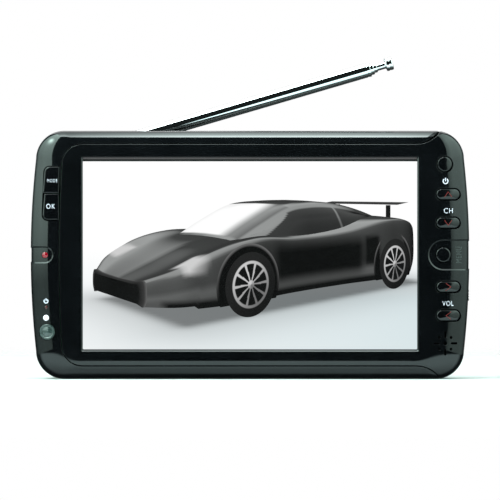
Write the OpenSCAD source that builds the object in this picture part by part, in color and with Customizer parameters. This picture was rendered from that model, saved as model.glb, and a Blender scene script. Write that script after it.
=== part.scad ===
// Portable television: a seven inch flat screen in a three-piece moulded case, with push buttons down both
// sides of the screen, a telescopic aerial at the top of the back and a fold-out stand.
// X runs to the viewer's right, Y from the screen to the back and Z up.
// The origin is the middle of the flat bottom face. All sizes are millimetres.

/* [Case] */
// Width of the case across its bulged sides
body_w = 202.5; // [202:0.5:205]
// Height of the case
body_h = 114.5; // [114.5:0.5:116]
// Depth of the case, from the screen surround to the back face
body_d = 30; // [30:0.5:32]
// Radius of the case's four corners
corner_r = 13; // [12.5:0.5:14]
// Radius of the bulge in the two sides
side_bulge_r = 397; // [390:1:420]
// Wall thickness of the mouldings
wall = 2; // [1.8:0.1:2]
// Depth of the rounding from the screen surround out to the sides
front_round = 7; // [6.5:0.5:7]
// Depth of the rounding from the back face out to the sides
back_round = 8; // [7.5:0.5:8.5]
// Gap between neighbouring mouldings, on each side of the line between them
seam_gap = 0.12; // [0.1:0.01:0.15]

/* [Screen] */
// Width of the picture area
picture_w = 154.1; // [153:0.1:155]
// Height of the picture area
picture_h = 86.6; // [86:0.1:87]
// Width of the sloping surround of the picture
bevel_w = 1.8; // [1.5:0.1:2]
// Width of the display module
display_w = 164.9; // [164:0.1:165]
// Height of the display module
display_h = 100; // [99:0.5:100]

/* [Controls] */
// Distance that a push button travels
button_travel = 0.6; // [0.4:0.1:0.6]
// Radius of the round buttons
round_button_r = 3.4; // [3.2:0.1:3.5]
// Length of the oblong buttons
oblong_w = 11; // [10.5:0.1:11]
// Height of the oblong buttons
oblong_h = 5; // [4.6:0.1:5]
// Gap around each button
button_gap = 0.28; // [0.2:0.01:0.3]
// Travel of the power slide switch
switch_travel = 3; // [2.5:0.5:3]

/* [Aerial] */
// Angle of the aerial above the horizontal
aerial_angle = 16.3; // [0:0.1:30]
// Length of the outermost tube, from the hinge pin to its open end
tube_end = 130.7; // [120:0.1:132]
// Outside radius of the outermost tube
tube_r = 3.3; // [3.2:0.05:3.3]
// Distance that each inner section pulls out
section_travel = 110; // [90:1:110]

/* [Stand] */
// Width of the fold-out stand
stand_w = 65; // [60:1:66]
// Height of the stand's hinge above the bottom face
stand_hinge_z = 63; // [60:1:64]
// Thickness of the stand
stand_t = 3; // [2.8:0.1:3]
// Height of the heel above the stand's pin, which stops it against the pocket floor when it is open
stand_heel = 2.28; // [2.1:0.02:2.3]

/* [Hidden] */
$fn = 48;

// Planes across the depth of the case
y_front = -body_d / 2;
y_back = body_d / 2;
y_parting = -3;
mid_z = body_h / 2;

// Flat areas that the front and back roundings start from
front_flat_left = -86.5;
front_flat_right = 82;
front_flat_inset = 9.4;
front_flat_r = 8;
back_flat_w = 180;
back_flat_low = 5;
back_flat_high = 106;
back_flat_r = 12;

// Line between the front panel and the outer frame
seam_left = -87.8;
seam_inset = 6.2;
seam_r = 9.5;
seam_bulge_r = 745;
sweep_x = body_w / 2 - 25;
sweep_r = 14;
sweep_turn = 53;

// Steps in each corner, bulged side and edge rounding
corner_steps = 6;
side_steps = 6;
round_steps = 5;

// Controls down the right and left sides, as [x, z]
power_at = [89.65, 99];
channel_up_at = [91.2, 85.1];
channel_down_at = [91.2, 72];
menu_at = [89, mid_z];
volume_up_at = [91.3, 42.5];
volume_down_at = [91.3, 29.3];
speaker_at = [89.9, 16.5];
charge_at = [-94.4, mid_z];
power_led_at = [-93.9, 33.2];
status_led_at = [-93.9, 28.3];
remote_at = [-93.4, 21.8];
speaker_r = 6.4;
menu_band_r = 6.4;
charge_band_r = 3.2;
band_depth = 0.45;
key_left = -95.5;
key_right = seam_left - 0.1;
key_low = 73.3;
key_mid = 85.5;
key_high = 97.8;
key_corner_r = 2.4;
button_proud = 0.35;
button_back = -9.9;

// Boards and switches behind the buttons, and the moulded pegs that hold the boards
key_board_y = -4.9;
key_board_t = 1.2;
right_peg_spots = [[91, 78.5], [91, 64.8], [87.5, 36]];
left_peg_spots = [[-94, 64.5], [-94, 39.5]];
peg_r = 0.7;
peg_shoulder_r = 1.2;
peg_root_y = -12.9;
switch_body_t = 3.5;
switch_stem_y = button_back + button_travel + 0.15;

// Display stack, front to back
display_y = -12.2;
display_back = -6.9;
sheet_t = 0.4;

// Chassis plate and main board
chassis_y = -6.5;
chassis_t = 0.8;
board_y = -3;
board_t = 1.6;
board_back = board_y + board_t;
board_left = -96;
board_right = 2;
board_low = 12;
board_high = 93;

// Sockets in the left side and the power switch in the right, by the height of their middles
jack_y = 1.6;
dc_y = jack_y + 1.5;
dc_z = 19;
earphone_z = 31;
av_z = 42;
usb_z = 55;
card_z = 79.25;
switch_z = 40;

// Fasteners
case_screw_spots = [for (x = [-91, 91], z = [6.6, body_h - 6.6]) [x, z]];
chassis_screw_spots = [for (x = [-60, 60], z = [4.9, body_h - 4.9]) [x, z]];
board_screw_spots = [[-76, 20], [-76, 60], [-4, 20], [-4, 86]];
screw_r = 1;
screw_clear = 0.1;
boss_r = 2.2;
head_r = 2.1;
head_t = 1.6;
small_head_r = 1.8;
small_head_t = 1.3;

// Aerial recess and hinge
recess_left = -84;
recess_right = 78;
recess_low = 101.5;
recess_y = 6.5;
pivot_x = -69.4;
pivot_z = 107;
aerial_y = 11.3;
swivel_r = 4.5;
shaft_r = 2.5;
running = 0.06;
fork_r = 2.8;
fork_gap = 1.5;
fork_outer = 3.1;
pin_r = 1;
tube_wall = 0.45;
slide_clear = 0.1;
section_r = [tube_r, tube_r - tube_wall - slide_clear, tube_r - 2 * (tube_wall + slide_clear)];
tip_rod_r = section_r[2] - tube_wall - slide_clear;
lip = 1.6;
tip_neck = 4.2;
tip_knob_r = 3.1;
tip_knob_len = 3.4;

// Stand pocket
stand_y = y_back - 0.1 - stand_t;
stand_low = 3.5;
stand_gap = 0.4;
pocket_floor = stand_y - 0.3;
stand_pin_r = 0.8;
stand_pin_y = stand_y + stand_t / 2;
pad_w = 36;
pad_h = 3.5;

// Colours
case_black = [0.10, 0.11, 0.11];
button_black = [0.06, 0.06, 0.07];
board_green = [0.05, 0.30, 0.15];
steel = [0.72, 0.73, 0.74];
chrome = [0.85, 0.86, 0.87];
connector_black = [0.12, 0.12, 0.12];
rubber_black = [0.05, 0.05, 0.05];
lead_black = [0.1, 0.1, 0.1];
lead_red = [0.8, 0.05, 0.05];

// ---------- shared shapes ----------

// How far a bulged side falls back at a distance dz from its middle
function bulge(dz, r) = dz * dz / (2 * r);

// Points along an arc of radius r about [cx, cz]
function arc(cx, cz, r, from, to, steps) =
    [for (i = [0:steps]) let (a = from + (to - from) * i / steps) [cx + r * cos(a), cz + r * sin(a)]];

// Points down or up a bulged side, without its ends; outward is 1 on the right and -1 on the left
function side(x, outward, z_from, z_to, mid, r) =
    [for (i = [1:side_steps - 1])
        let (z = z_from + (z_to - z_from) * i / side_steps) [x - outward * bulge(z - mid, r), z]];

// Closed outline of a rounded rectangle with bulged sides
function outline(left, right, low, high, r, bulge_r) =
    let (mid = (low + high) / 2, cut = bulge((high - low) / 2 - r, bulge_r))
    concat(
        arc(right - cut - r, high - r, r, 0, 90, corner_steps),
        arc(left + cut + r, high - r, r, 90, 180, corner_steps),
        side(left, -1, high - r, low + r, mid, bulge_r),
        arc(left + cut + r, low + r, r, 180, 270, corner_steps),
        arc(right - cut - r, low + r, r, 270, 360, corner_steps),
        side(right, 1, low + r, high - r, mid, bulge_r)
    );

function mix(a, b, t) = [for (i = [0:len(a) - 1]) a[i] * (1 - t) + b[i] * t];

// Outlines of the case at its widest, and of the flat areas on its front and back
function case_outline(inset) =
    outline(-body_w / 2 + inset, body_w / 2 - inset, inset, body_h - inset, corner_r - inset, side_bulge_r);
front_flat = outline(front_flat_left, front_flat_right, front_flat_inset, body_h - front_flat_inset,
    front_flat_r, side_bulge_r);
back_flat = outline(-back_flat_w / 2, back_flat_w / 2, back_flat_low, back_flat_high, back_flat_r,
    side_bulge_r);

// The case as one solid, shrunk by inset on every side
module case_form(inset) {
    widest = case_outline(inset);
    count = len(widest);
    rings = concat(
        [for (i = [0:round_steps]) let (a = 90 * i / round_steps)
            [mix(front_flat, widest, sin(a)), y_front + inset + (front_round - inset) * (1 - cos(a))]],
        [for (i = [round_steps:-1:0]) let (a = 90 * i / round_steps)
            [mix(back_flat, widest, sin(a)), y_back - inset - (back_round - inset) * (1 - cos(a))]]
    );
    last = len(rings) - 1;
    polyhedron(
        points = [for (ring = rings) for (p = ring[0]) [p.x, ring[1], p.y]],
        faces = concat(
            [[for (i = [count - 1:-1:0]) i]],
            [[for (i = [0:count - 1]) last * count + i]],
            [for (j = [0:last - 1], i = [0:count - 1]) let (n = (i + 1) % count)
                [j * count + i, j * count + n, (j + 1) * count + n]],
            [for (j = [0:last - 1], i = [0:count - 1]) let (n = (i + 1) % count)
                [j * count + i, (j + 1) * count + n, (j + 1) * count + i]]
        )
    );
}

// Draws a flat shape in X and Z from depth y0 back to y1
module deep(y0, y1) translate([0, y1, 0]) rotate([90, 0, 0]) linear_extrude(height = y1 - y0) children();

module block(x0, x1, y0, y1, z0, z1) translate([x0, y0, z0]) cube([x1 - x0, y1 - y0, z1 - z0]);

module rod_y(at, r, y0, y1) translate([at.x, y0, at.y]) rotate([-90, 0, 0]) cylinder(r = r, h = y1 - y0);

module rod_x(x0, x1, y, z, r) translate([x0, y, z]) rotate([0, 90, 0]) cylinder(r = r, h = x1 - x0);

module ring_y(at, r_out, r_in, y0, y1) difference() {
    rod_y(at, r_out, y0, y1);
    rod_y(at, r_in, y0 - 1, y1 + 1);
}

// Oblong with round ends, centred on at
module oblong(at, w, h) polygon(concat(
    arc(at.x + (w - h) / 2, at.y, h / 2, -90, 90, 16),
    arc(at.x - (w - h) / 2, at.y, h / 2, 90, 270, 16)
));

// Rectangle centred on [0, mid_z]
module centred(w, h) translate([-w / 2, mid_z - h / 2]) square([w, h]);

// A wire that runs straight from point to point, with a slightly fuller ball at each bend
module wire(path, r) {
    for (i = [0:len(path) - 2]) {
        run = path[i + 1] - path[i];
        translate(path[i]) rotate([0, acos(run.z / norm(run)), atan2(run.y, run.x)])
            cylinder(r = r, h = norm(run));
    }
    for (i = [1:len(path) - 2]) translate(path[i]) sphere(r = r * 1.15);
}

// ---------- case ----------

// Area of the front that belongs to the front panel, drawn in by gap along the seam
module panel_area(gap) {
    low = seam_inset + gap;
    high = body_h - low;
    left = seam_left + gap;
    cut = bulge(mid_z - low - seam_r, seam_bulge_r);
    r = sweep_r + gap;
    lower = arc(sweep_x, seam_inset - sweep_r, r, 90, 90 - sweep_turn, corner_steps);
    upper = arc(sweep_x, body_h - seam_inset + sweep_r, r, sweep_turn - 90, -90, corner_steps);
    run_out = [8 * cos(sweep_turn), 8 * sin(sweep_turn)];
    polygon(concat(
        lower,
        [lower[corner_steps] + [run_out.x, -run_out.y], [body_w, -run_out.y]],
        [[body_w, body_h + run_out.y], upper[0] + run_out],
        upper,
        arc(left + cut + seam_r, high - seam_r, seam_r, 90, 180, corner_steps),
        side(left, -1, high - seam_r, low + seam_r, mid_z, seam_bulge_r),
        arc(left + cut + seam_r, low + seam_r, seam_r, 180, 270, corner_steps)
    ));
}

// Shell of the front half of the case
module front_shell() difference() {
    case_form(0);
    case_form(wall);
    block(-body_w, body_w, y_parting - seam_gap, y_back + 1, -1, body_h + 1);
}

// Shallow step across a side of the case, with a round inner end about at
module side_band(at, r, outward) difference() {
    deep(y_front - 1, y_parting + 1) union() {
        translate(at) circle(r = r);
        translate([outward > 0 ? at.x : -body_w, at.y - r]) square([body_w - abs(at.x), 2 * r]);
    }
    case_form(band_depth);
}

// A screw boss that stays inside the moulding's skin
module boss(at, y0, y1) rod_y(at, boss_r, y0, y1);

// A moulded peg with a shoulder under a key board and a head melted over it
module peg(at) {
    board_rear = key_board_y + key_board_t;
    rod_y(at, peg_shoulder_r, peg_root_y, key_board_y - 0.03);
    rod_y(at, peg_r, key_board_y - 0.1, board_rear + 0.1);
    rod_y(at, peg_shoulder_r, board_rear + 0.03, board_rear + 0.5);
}

// The four cardinal slots and five round holes of the speaker grille
module grille() {
    slot_out = 4.1;
    slot_len = 3;
    slot_w = 1;
    dot_out = 2.7;
    translate(speaker_at) circle(r = 0.9);
    for (x = [-dot_out, dot_out], z = [-dot_out, dot_out]) translate(speaker_at + [x, z]) circle(r = 0.65);
    for (s = [-1, 1]) {
        oblong(speaker_at + [s * slot_out, 0], slot_len, slot_w);
        translate(speaker_at + [0, s * slot_out]) rotate(90) oblong([0, 0], slot_len, slot_w);
    }
}

// Tabs that hook behind the outer frame at the left, above and below
module tabs() {
    for (z = [mid_z - 16, mid_z + 8]) {
        block(-87.2, -84.8, -13.1, -11.2, z, z + 6);
        block(-91, -87, -12.2, -11.2, z, z + 6);
    }
    for (x = [-33, 27], turn = [0, 1]) translate([x, 0, turn * body_h]) mirror([0, 0, turn]) {
        block(0, 6, -12.9, -10.7, 6.4, 7.05);
        block(0, 6, -11.7, -10.7, 4.9, 7.05);
    }
}

module front_panel() color(case_black) difference() {
    union() {
        intersection() {
            front_shell();
            deep(y_front - 1, y_parting) panel_area(seam_gap);
        }
        tabs();
        for (at = case_screw_spots) if (at.x > 0) boss(at, -11.5, 1.8);
        for (at = right_peg_spots) peg(at);
        // Collar round the speaker
        ring_y(speaker_at, speaker_r + 0.9, speaker_r + 0.1, -12.4, -7);
    }
    // Picture opening, with a bevel that narrows towards the display
    hull() for (edge = [[y_front - 1, bevel_w * 1.5], [display_y - 0.8, 0]])
        deep(edge[0], edge[0] + 0.01) centred(picture_w + 0.6 + 2 * edge[1], picture_h + 0.6 + 2 * edge[1]);
    deep(display_y - 1, display_y + 1) centred(picture_w + 0.6, picture_h + 0.6);
    for (at = [power_at, menu_at]) rod_y(at, round_button_r + button_gap, y_front - 1, y_parting);
    for (at = [channel_up_at, channel_down_at, volume_up_at, volume_down_at])
        deep(y_front - 1, y_parting) oblong(at, oblong_w + 2 * button_gap, oblong_h + 2 * button_gap);
    deep(y_front - 1, y_parting) grille();
    side_band(menu_at, menu_band_r, 1);
    for (at = case_screw_spots) if (at.x > 0) rod_y(at, screw_r + screw_clear, -8, 3);
}

// Opening for the mode and ok buttons, open towards the front panel
module key_opening(gap) {
    r = key_corner_r + gap;
    low = key_low - gap;
    high = key_high + gap;
    left = key_left - gap;
    polygon(concat(
        [[key_right + gap, low], [key_right + gap, high]],
        arc(left + 0.8 + r, high - r, r, 90, 180, corner_steps),
        arc(left + r, low + r, r, 180, 270, corner_steps)
    ));
}

module outer_frame() color(case_black) difference() {
    union() {
        difference() {
            front_shell();
            deep(y_front - 1, y_parting) panel_area(-seam_gap);
        }
        for (at = case_screw_spots) if (at.x < 0) boss(at, -11.5, 1.8);
        for (at = chassis_screw_spots) boss(at, -12, chassis_y - 0.05);
        for (at = left_peg_spots) peg(at);
    }
    deep(y_front - 1, y_parting) key_opening(button_gap);
    rod_y(charge_at, 1.55, y_front - 1, y_parting);
    rod_y(power_led_at, 0.75, y_front - 1, y_parting);
    rod_y(status_led_at, 1.4, y_front - 1, y_parting);
    rod_y(remote_at, 3.75, y_front - 1, y_parting);
    side_band(charge_at, charge_band_r, -1);
    for (at = case_screw_spots) if (at.x < 0) rod_y(at, screw_r + screw_clear, -8, 3);
    for (at = chassis_screw_spots) rod_y(at, screw_r + screw_clear, -11, 0);
}

// Space that the folded aerial lies in, grown by extra on each side
module aerial_recess(extra) block(recess_left - extra, recess_right + extra, recess_y - extra, y_back + 1,
    recess_low - extra, body_h + 1);

// Pocket that the folded stand lies in, grown by extra on each side; it runs out through the bottom
module stand_pocket(extra) block(-stand_w / 2 - stand_gap - extra, stand_w / 2 + stand_gap + extra,
    pocket_floor - extra, y_back + 1, -1, stand_hinge_z + stand_heel + stand_gap + extra);

// Rows of cooling slots beside the stand
module vents() {
    slot_w = 26;
    slot_h = 1.6;
    pitch = 4.2;
    rows = 9;
    for (s = [-1, 1], i = [0:rows - 1])
        translate([s * 58, 40 + i * pitch]) oblong([0, 0], slot_w, slot_h);
}

module rear_cover() color(case_black) {
    screw_floor = 2;
    difference() {
        union() {
            difference() {
                case_form(0);
                difference() {
                    case_form(wall);
                    aerial_recess(wall);
                    stand_pocket(wall);
                }
            }
            for (at = case_screw_spots) rod_y(at, 3.6, screw_floor, 10.5);
        }
        block(-body_w, body_w, y_front - 1, y_parting + seam_gap, -1, body_h + 1);
        aerial_recess(0);
        stand_pocket(0);
        for (at = case_screw_spots) {
            rod_y(at, screw_r + screw_clear, y_parting, y_back);
            rod_y(at, 2.5, screw_floor + 2, y_back + 1);
        }
        // Hole for the aerial's shaft, and for the ends of the stand's pin
        rod_y([pivot_x, pivot_z], shaft_r + running, 0, recess_y + 1);
        rod_x(-stand_w / 2 - 2.2, stand_w / 2 + 2.2, stand_pin_y, stand_hinge_z, stand_pin_r + running);
        deep(y_back - wall - 1, y_back + 1) vents();
        // Openings in the left side for the sockets, and in the right side for the switch
        rod_x(-body_w, -90, dc_y, dc_z, 3.4);
        for (z = [earphone_z, av_z]) rod_x(-body_w, -90, jack_y, z, 3.1);
        block(-body_w, -90, jack_y - 3.2, jack_y + 3, usb_z - 7, usb_z + 7);
        block(-body_w, -90, -1.1, 1.9, card_z - 12.75, card_z + 12.75);
        block(90, body_w, -0.8, 2.8, switch_z - 4.5, switch_z + 4.5);
        // Shallow panel for a rating label
        block(-20, 20, y_back - 0.3, y_back + 1, 72, 94);
    }
}

// A pan-head screw with its head at y_head and its point towards the screen
module screw(at, y_head, length, r, t) {
    difference() {
        rod_y(at, r, y_head, y_head + t);
        for (turn = [0, 90]) translate([at.x, y_head + t, at.y]) rotate([0, turn, 0])
            cube([r * 1.2, 1, 0.5], center = true);
    }
    rod_y(at, screw_r, y_head - length, y_head + 0.1);
}

module case_screws() color(steel) for (at = case_screw_spots) screw(at, 4.05, 10, head_r, head_t);

// ---------- display ----------

module display_gasket() color(rubber_black) deep(y_front + wall + 0.1, display_y - 0.03) difference() {
    centred(picture_w + 4, picture_h + 5);
    centred(picture_w + 2.3, picture_h + 2.3);
}

module display_frame() color(steel) difference() {
    deep(display_y, display_back) centred(display_w, display_h);
    deep(display_y + sheet_t, display_back + 1) centred(display_w - 2 * sheet_t, display_h - 2 * sheet_t);
    deep(display_y - 1, display_back) centred(picture_w + 2.4, picture_h + 2.4);
}

module display_glass() color([0.9, 0.93, 0.95]) deep(display_y + sheet_t + 0.05, display_y + 1.9)
    centred(display_w - 2, display_h - 2);

module backlight_unit() color([0.95, 0.95, 0.93]) deep(display_y + 2, display_back - 0.05)
    centred(display_w - 2, display_h - 2);

module display_ribbon() color([0.75, 0.45, 0.15]) {
    block(-45, -25, display_back + 0.05, -0.9, 9.8, 10);
    block(-45, -25, -1.1, -0.9, 9.8, 17);
}

// ---------- buttons ----------

// A cap that follows the front of the case, a little proud of it, with a back at button_back
module cap() intersection() {
    case_form(-button_proud);
    deep(y_front - 1, button_back) children();
}

module round_button(at) color(button_black) {
    cap() translate(at) circle(r = round_button_r);
    rod_y(at, round_button_r + 0.7, button_back - 1, button_back);
}

module oblong_button(at) color(button_black) {
    cap() oblong(at, oblong_w, oblong_h);
    deep(button_back - 1, button_back)
        translate([at.x - oblong_w / 2 + 1.2, at.y - oblong_h / 2 - 0.7]) square([7, oblong_h + 1.4]);
}

module power_button() round_button(power_at);
module menu_button() round_button(menu_at);
module channel_up_button() oblong_button(channel_up_at);
module channel_down_button() oblong_button(channel_down_at);
module volume_up_button() oblong_button(volume_up_at);
module volume_down_button() oblong_button(volume_down_at);

// One half of the opening beside the seam, from z0 to z1, with a flange from flange_left
module side_key(z0, z1, flange_left) color(button_black) {
    cap() intersection() {
        key_opening(0);
        translate([key_left - 1, z0]) square([20, z1 - z0]);
    }
    block(flange_left, key_right, button_back - 1, button_back, z0, z1);
}

module mode_button() side_key(key_mid + 0.15, key_high + 0.7, -94.6);
module ok_button() side_key(key_low - 0.7, key_mid - 0.15, -95.4);

// ---------- indicators and remote-control window ----------

module lens(at, r, proud) intersection() {
    case_form(-proud);
    rod_y(at, r, y_front - 1, -9);
}

module charge_lens() color([0.7, 0.02, 0.05]) lens(charge_at, 1.45, 0);
module power_lens() color([0.4, 0.02, 0.03]) lens(power_led_at, 0.65, 0.1);
module status_lens() color([0.95, 0.95, 1]) lens(status_led_at, 1.3, 0.1);
module remote_lens() color([0.55, 0.6, 0.6]) lens(remote_at, 3.6, 0.5);

module indicator_leds() color([0.9, 0.9, 0.85])
    for (at = [charge_at, power_led_at, status_led_at]) rod_y(at, 0.95, -8.8, key_board_y);

module remote_receiver() color([0.15, 0.12, 0.12]) {
    block(remote_at.x - 3.5, remote_at.x + 3.5, -7.6, key_board_y, remote_at.y - 3, remote_at.y + 3);
    rod_y(remote_at, 2.2, -8.7, -7.5);
}

// ---------- boards behind the buttons ----------

// A board with a hole for each peg
module key_board(x0, x1, z0, z1, peg_spots) color(board_green) difference() {
    block(x0, x1, key_board_y, key_board_y + key_board_t, z0, z1);
    for (at = peg_spots) rod_y(at, peg_r + 0.1, key_board_y - 1, 0);
}

module right_key_board() key_board(86, 95.6, 25, 104, right_peg_spots);
module left_key_board() key_board(-96.2, -86, 16, 100, left_peg_spots);

module key_switch(at) {
    block(at.x - 2.25, at.x + 2.25, key_board_y - switch_body_t, key_board_y, at.y - 2.25, at.y + 2.25);
    rod_y(at, 1.2, switch_stem_y, key_board_y - switch_body_t + 0.1);
}

module right_key_switches() color(connector_black) {
    for (at = [power_at, menu_at]) key_switch(at);
    for (at = [channel_up_at, channel_down_at, volume_up_at, volume_down_at]) key_switch(at);
}

module left_key_switches() color(connector_black)
    for (z = [(key_low + key_mid) / 2, (key_mid + key_high) / 2]) key_switch([-91.2, z]);

module key_ribbons() color([0.9, 0.9, 0.88]) {
    block(-92, -86, key_board_y + key_board_t, key_board_y + key_board_t + 0.2, 62, 70);
    block(3, 90, -3.3, -3.1, 96, 101);
}

// ---------- speaker ----------

module speaker() color([0.2, 0.2, 0.21]) {
    ring_y(speaker_at, speaker_r, speaker_r - 1.6, -8.7, -7.2);
    rod_y(speaker_at, speaker_r - 0.8, -7.2, -6.2);
    rod_y(speaker_at, 4, -6.2, -4.2);
    intersection() {
        translate([speaker_at.x, -12.2, speaker_at.y]) sphere(r = 6);
        rod_y(speaker_at, speaker_r - 1.5, -8.2, -7.1);
    }
}

module speaker_cloth() color([0.04, 0.04, 0.04]) rod_y(speaker_at, speaker_r - 0.6, -8.95, -8.75);

module speaker_leads() for (s = [-1, 1])
    color(s < 0 ? lead_black : lead_red)
        wire([[88 + s, -3.6, 16], [84 + s, 2.4, 10 + s], [8, 2.4, 10 + s], [0, 0.6, 16 + s]], 0.45);

// ---------- chassis, boards and battery ----------

module chassis_plate() color(steel) difference() {
    union() {
        deep(chassis_y, chassis_y + chassis_t) centred(160, 108.5);
        for (at = board_screw_spots) rod_y(at, 2.5, chassis_y + 0.1, board_y - 0.02);
    }
    for (at = concat(board_screw_spots, chassis_screw_spots))
        rod_y(at, screw_r + screw_clear, chassis_y - 1, board_y);
    // Window for the display ribbon, and large lightening windows
    block(-46, -24, chassis_y - 1, board_y, 9, 11.2);
    block(-68, -20, chassis_y - 1, board_y, 30, 78);
    block(20, 68, chassis_y - 1, board_y, 30, 78);
}

module chassis_screws() color(steel)
    for (at = chassis_screw_spots) screw(at, chassis_y + chassis_t + 0.05, 5, small_head_r, small_head_t);

module main_board() color(board_green) difference() {
    block(board_left, board_right, board_y, board_back, board_low, board_high);
    for (at = board_screw_spots) rod_y(at, screw_r + screw_clear, board_y - 1, board_back + 1);
}

module board_screws() color(steel)
    for (at = board_screw_spots) screw(at, board_back + 0.05, 4.5, small_head_r, small_head_t);

module board_chips() color(connector_black) {
    block(-42, -22, board_back + 0.05, 0.4, 34, 54);
    block(-60, -50, board_back + 0.05, -0.2, 36, 52);
    block(-16, -8, board_back + 0.05, 0, 40, 50);
    block(-42, -30, board_back + 0.05, -0.2, 58, 63);
    for (at = [[-70, 30], [-70, 44], [-14, 62], [-14, 72]]) rod_y(at, 3, board_back + 0.05, 5);
}

module board_connectors() color([0.92, 0.92, 0.88]) {
    difference() {
        block(-46, -24, board_back + 0.05, 0.4, 16, 20);
        block(-45.1, -24.9, -1.2, -0.8, 15, 18);
    }
    block(-8, 0, board_back + 0.05, 2.4, 24, 32);
    block(-8, 0, board_back + 0.05, 2.4, 52, 60);
}

module tuner_can() color(steel) {
    block(-72, -38, board_back + 0.05, 5, 66, 88);
    rod_y([-67, 84], 1.2, 4.9, 5.6);
}

module battery_pack() color([0.1, 0.2, 0.5]) {
    cell_r = 3.4;
    deep(-5.6, -5.6 + 2 * cell_r) union() {
        translate([10, 14]) square([66, 72]);
        translate([16, 86]) square([54, 4]);
    }
}

module battery_leads() for (s = [-1, 1])
    color(s < 0 ? lead_black : lead_red)
        wire([
            [18 + 2 * s, 0.5, 90.05], [18 + 2 * s, 0.5, 96 + 1.5 * s], [5 - 1.5 * s, 0.5, 96 + 1.5 * s],
            [5 - 1.5 * s, 0.5, 56 + 1.5 * s], [0.05, 0.5, 56 + 1.5 * s]
        ], 0.6);

// ---------- sockets in the left side ----------

// A 3.5 mm jack: housing on the board and a round nose that reaches out through the case
module phone_jack(z) difference() {
    union() {
        block(-98, -85.5, board_back + 0.05, jack_y + 3, z - 3, z + 3);
        rod_x(-99.9, -97, jack_y, z, 2.9);
    }
    rod_x(-110, -87.9, jack_y, z, 1.8);
}

module earphone_jack() color(connector_black) phone_jack(earphone_z);
module av_jack() color([0.85, 0.75, 0.1]) phone_jack(av_z);

module dc_jack() color(connector_black) {
    difference() {
        union() {
            block(-95.8, -84, board_back + 0.05, dc_y + 4.5, dc_z - 4.5, dc_z + 4.5);
            rod_x(-99.3, -95, dc_y, dc_z, 3.2);
        }
        rod_x(-110, -88, dc_y, dc_z, 2.8);
    }
    rod_x(-98.5, -87, dc_y, dc_z, 0.65);
}

module usb_port() color(steel) {
    difference() {
        block(-100.2, -86, board_back + 0.05, jack_y + 2.7, usb_z - 6.55, usb_z + 6.55);
        block(-101, -87, board_back + 0.35, jack_y + 2.4, usb_z - 6.25, usb_z + 6.25);
    }
    block(-99.2, -86.5, board_back + 0.6, board_back + 2.4, usb_z - 5.6, usb_z + 5.6);
}

module card_slot() color(steel) difference() {
    block(-97, -74, board_back + 0.05, 1.7, card_z - 13.25, card_z + 13.25);
    block(-98, -75, -0.95, 1.35, card_z - 12.25, card_z + 12.25);
}

// ---------- power switch in the right side ----------

module slide_switch() color(steel)
    block(89, 96.4, key_board_y + key_board_t + 0.05, 4.4, switch_z - 5, switch_z + 5);

// The knob at the low end of its travel
module switch_knob() color(button_black) {
    knob_h = 5;
    low = switch_z - (knob_h + switch_travel) / 2;
    block(96.6, 98, -0.2, 2.2, low, low + knob_h);
    block(97.9, 101.5, -0.5, 2.5, low, low + knob_h);
}

// ---------- aerial ----------

// Places its children in the aerial's own axes: X along the tubes and Y towards the back
module at_pivot() translate([pivot_x, aerial_y, pivot_z]) rotate([0, -aerial_angle, 0]) children();

module aerial_swivel() color(chrome) at_pivot() difference() {
    base = recess_y + 0.2 - aerial_y;
    union() {
        rod_y([0, 0], swivel_r, base, base + 1.5);
        rod_y([0, 0], shaft_r, 3.6 - aerial_y, base + 0.1);
        for (z = [-fork_outer, fork_gap]) translate([0, 0, z]) {
            cylinder(r = fork_r, h = fork_outer - fork_gap);
            block(-fork_r, fork_r, base + 1, 0, 0, fork_outer - fork_gap);
        }
    }
    translate([0, 0, -fork_outer - 1]) cylinder(r = pin_r + running, h = 2 * fork_outer + 2);
    rod_y([0, 0], screw_r + screw_clear, 3 - aerial_y, base + 0.8);
}

module aerial_pin() color(chrome) at_pivot() {
    translate([0, 0, -fork_outer - 0.4]) cylinder(r = pin_r, h = 2 * fork_outer + 0.8);
    for (z = [-fork_outer - 0.45, fork_outer + 0.05])
        translate([0, 0, z]) cylinder(r = pin_r + 0.6, h = 0.4);
}

module aerial_washer() color(steel) ring_y([pivot_x, pivot_z], 4.2, shaft_r + 0.08, 3.75, 4.4);

module aerial_screw() color(steel) {
    rod_y([pivot_x, pivot_z], 3.2, 2.1, 3.55);
    rod_y([pivot_x, pivot_z], screw_r, 3.5, 6.8);
}

module aerial_lead() color(lead_black)
    wire([[pivot_x, 1.4, pivot_z - 1], [pivot_x, 1.4, 98], [-67, 6.4, 92], [-67, 6.4, 83.4]], 0.55);

// A tube along X, from x0 to x1, with a solid end plug of the stated length
module tube(x0, x1, r, plug) difference() {
    rod_x(x0, x1, 0, 0, r);
    rod_x(x0 + plug, x1 + 1, 0, 0, r - tube_wall);
}

module aerial_tube() color(chrome) at_pivot() {
    tang_r = 2.4;
    tang_t = 2.7;
    difference() {
        union() {
            tube(5, tube_end, section_r[0], 2);
            translate([0, 0, -tang_t / 2]) cylinder(r = tang_r, h = tang_t);
            block(0, 5.5, -tang_r, tang_r, -tang_t / 2, tang_t / 2);
        }
        translate([0, 0, -tang_t]) cylinder(r = pin_r + running, h = 2 * tang_t);
    }
}

module aerial_section_2() color(chrome) at_pivot() tube(8, tube_end + lip, section_r[1], 1);

module aerial_section_3() color(chrome) at_pivot() tube(10, tube_end + 2 * lip, section_r[2], 1);

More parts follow.
